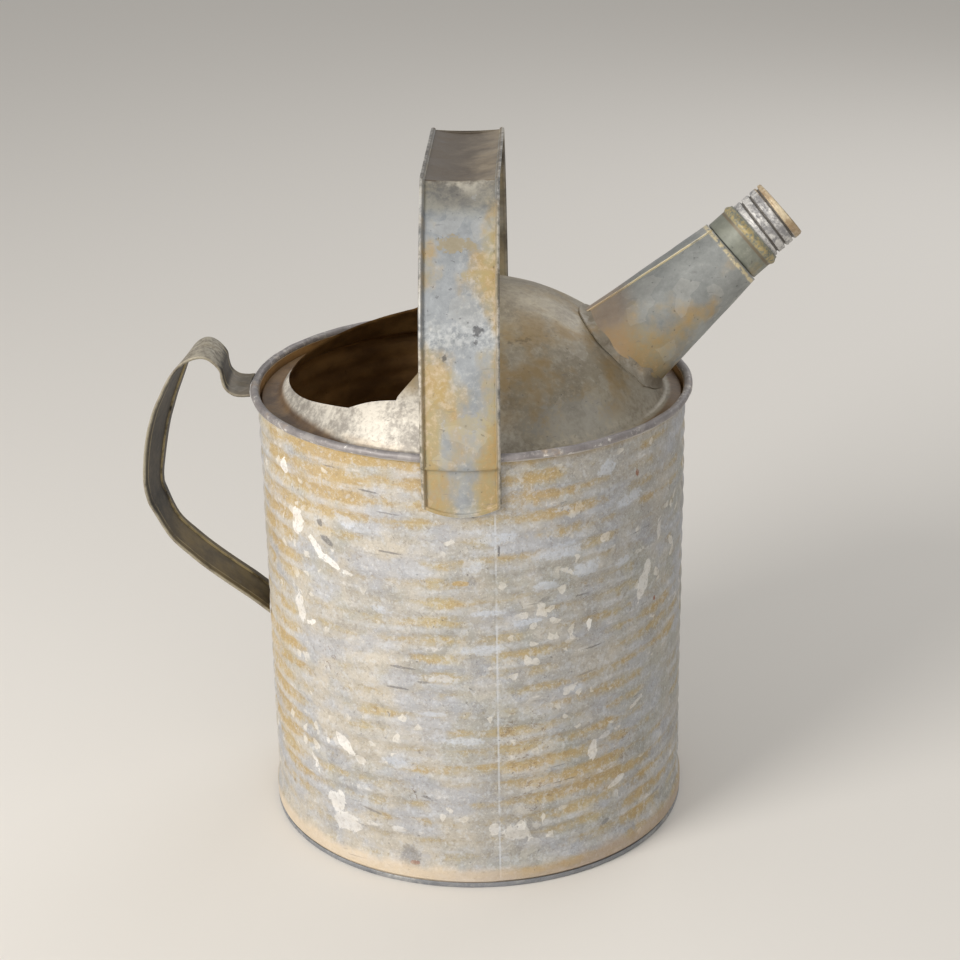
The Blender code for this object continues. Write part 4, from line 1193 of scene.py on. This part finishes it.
# floor, light and camera

def makeFloor():
    bm = bmesh.new()
    bmesh.ops.create_grid(bm, x_segments=1, y_segments=1, size=6.0)
    mat = bpy.data.materials.new("pale floor")
    mat.use_nodes = True
    shader = mat.node_tree.nodes["Principled BSDF"]
    shader.inputs["Base Color"].default_value = rgb((226, 222, 216))
    shader.inputs["Roughness"].default_value = 0.9
    mesh = bpy.data.meshes.new("floor")
    bm.to_mesh(mesh)
    bm.free()
    mesh.materials.append(mat)
    obj = bpy.data.objects.new("floor", mesh)
    bpy.context.scene.collection.objects.link(obj)


lamps = [
    # name, place, size, watts, colour
    ("key", (-1.05, -1.0, 0.85), 0.8, 22.0, (1.0, 0.97, 0.93)),
    ("front", (0.45, -1.5, 0.55), 1.2, 3.5, (1.0, 0.98, 0.96)),
    ("back", (0.7, 1.1, 1.1), 1.0, 5.0, (0.97, 0.98, 1.0)),
]


def makeLights():
    for name, spot, size, watts, tint in lamps:
        light = bpy.data.lights.new(name, "AREA")
        light.shape = "DISK"
        light.size = size
        light.energy = watts
        light.color = tint
        obj = bpy.data.objects.new(name, light)
        obj.location = spot
        obj.rotation_euler = (Vector((0, 0, 0.13)) - Vector(spot)).to_track_quat("-Z", "Y").to_euler()
        bpy.context.scene.collection.objects.link(obj)
    world = bpy.data.worlds.new("studio")
    world.use_nodes = True
    world.node_tree.nodes["Background"].inputs["Color"].default_value = (0.93, 0.92, 0.90, 1.0)
    world.node_tree.nodes["Background"].inputs["Strength"].default_value = 0.5
    bpy.context.scene.world = world


view = {"focal": 2177.4, "frame": 960, "down": 22.046, "roll": 1.0185, "turn": 2.0,
        "away": (3.07, -933.23, 535.67)}


def makeCamera():
    turn = Matrix.Rotation(math.radians(view["turn"]), 3, "Z")
    pitch, roll = math.radians(view["down"]), math.radians(view["roll"])
    forward = turn @ Vector((0, math.cos(pitch), -math.sin(pitch)))
    right = turn @ Vector((1, 0, 0))
    up = turn @ Vector((0, math.sin(pitch), math.cos(pitch)))
    camRight = right * math.cos(roll) - up * math.sin(roll)
    camUp = right * math.sin(roll) + up * math.cos(roll)
    data = bpy.data.cameras.new("camera")
    data.sensor_width = 36.0
    data.lens = view["focal"] * 36.0 / view["frame"]
    data.clip_start = 0.05
    data.clip_end = 20.0
    obj = bpy.data.objects.new("camera", data)
    spot = turn @ (Vector(view["away"]) * mm) + canAxis
    basis = Matrix((camRight, camUp, -forward)).transposed()
    obj.matrix_world = Matrix.Translation(spot) @ basis.to_4x4()
    bpy.context.scene.collection.objects.link(obj)
    bpy.context.scene.camera = obj


makeFloor()
makeLights()
makeCamera()
bpy.context.scene.view_settings.view_transform = "Standard"
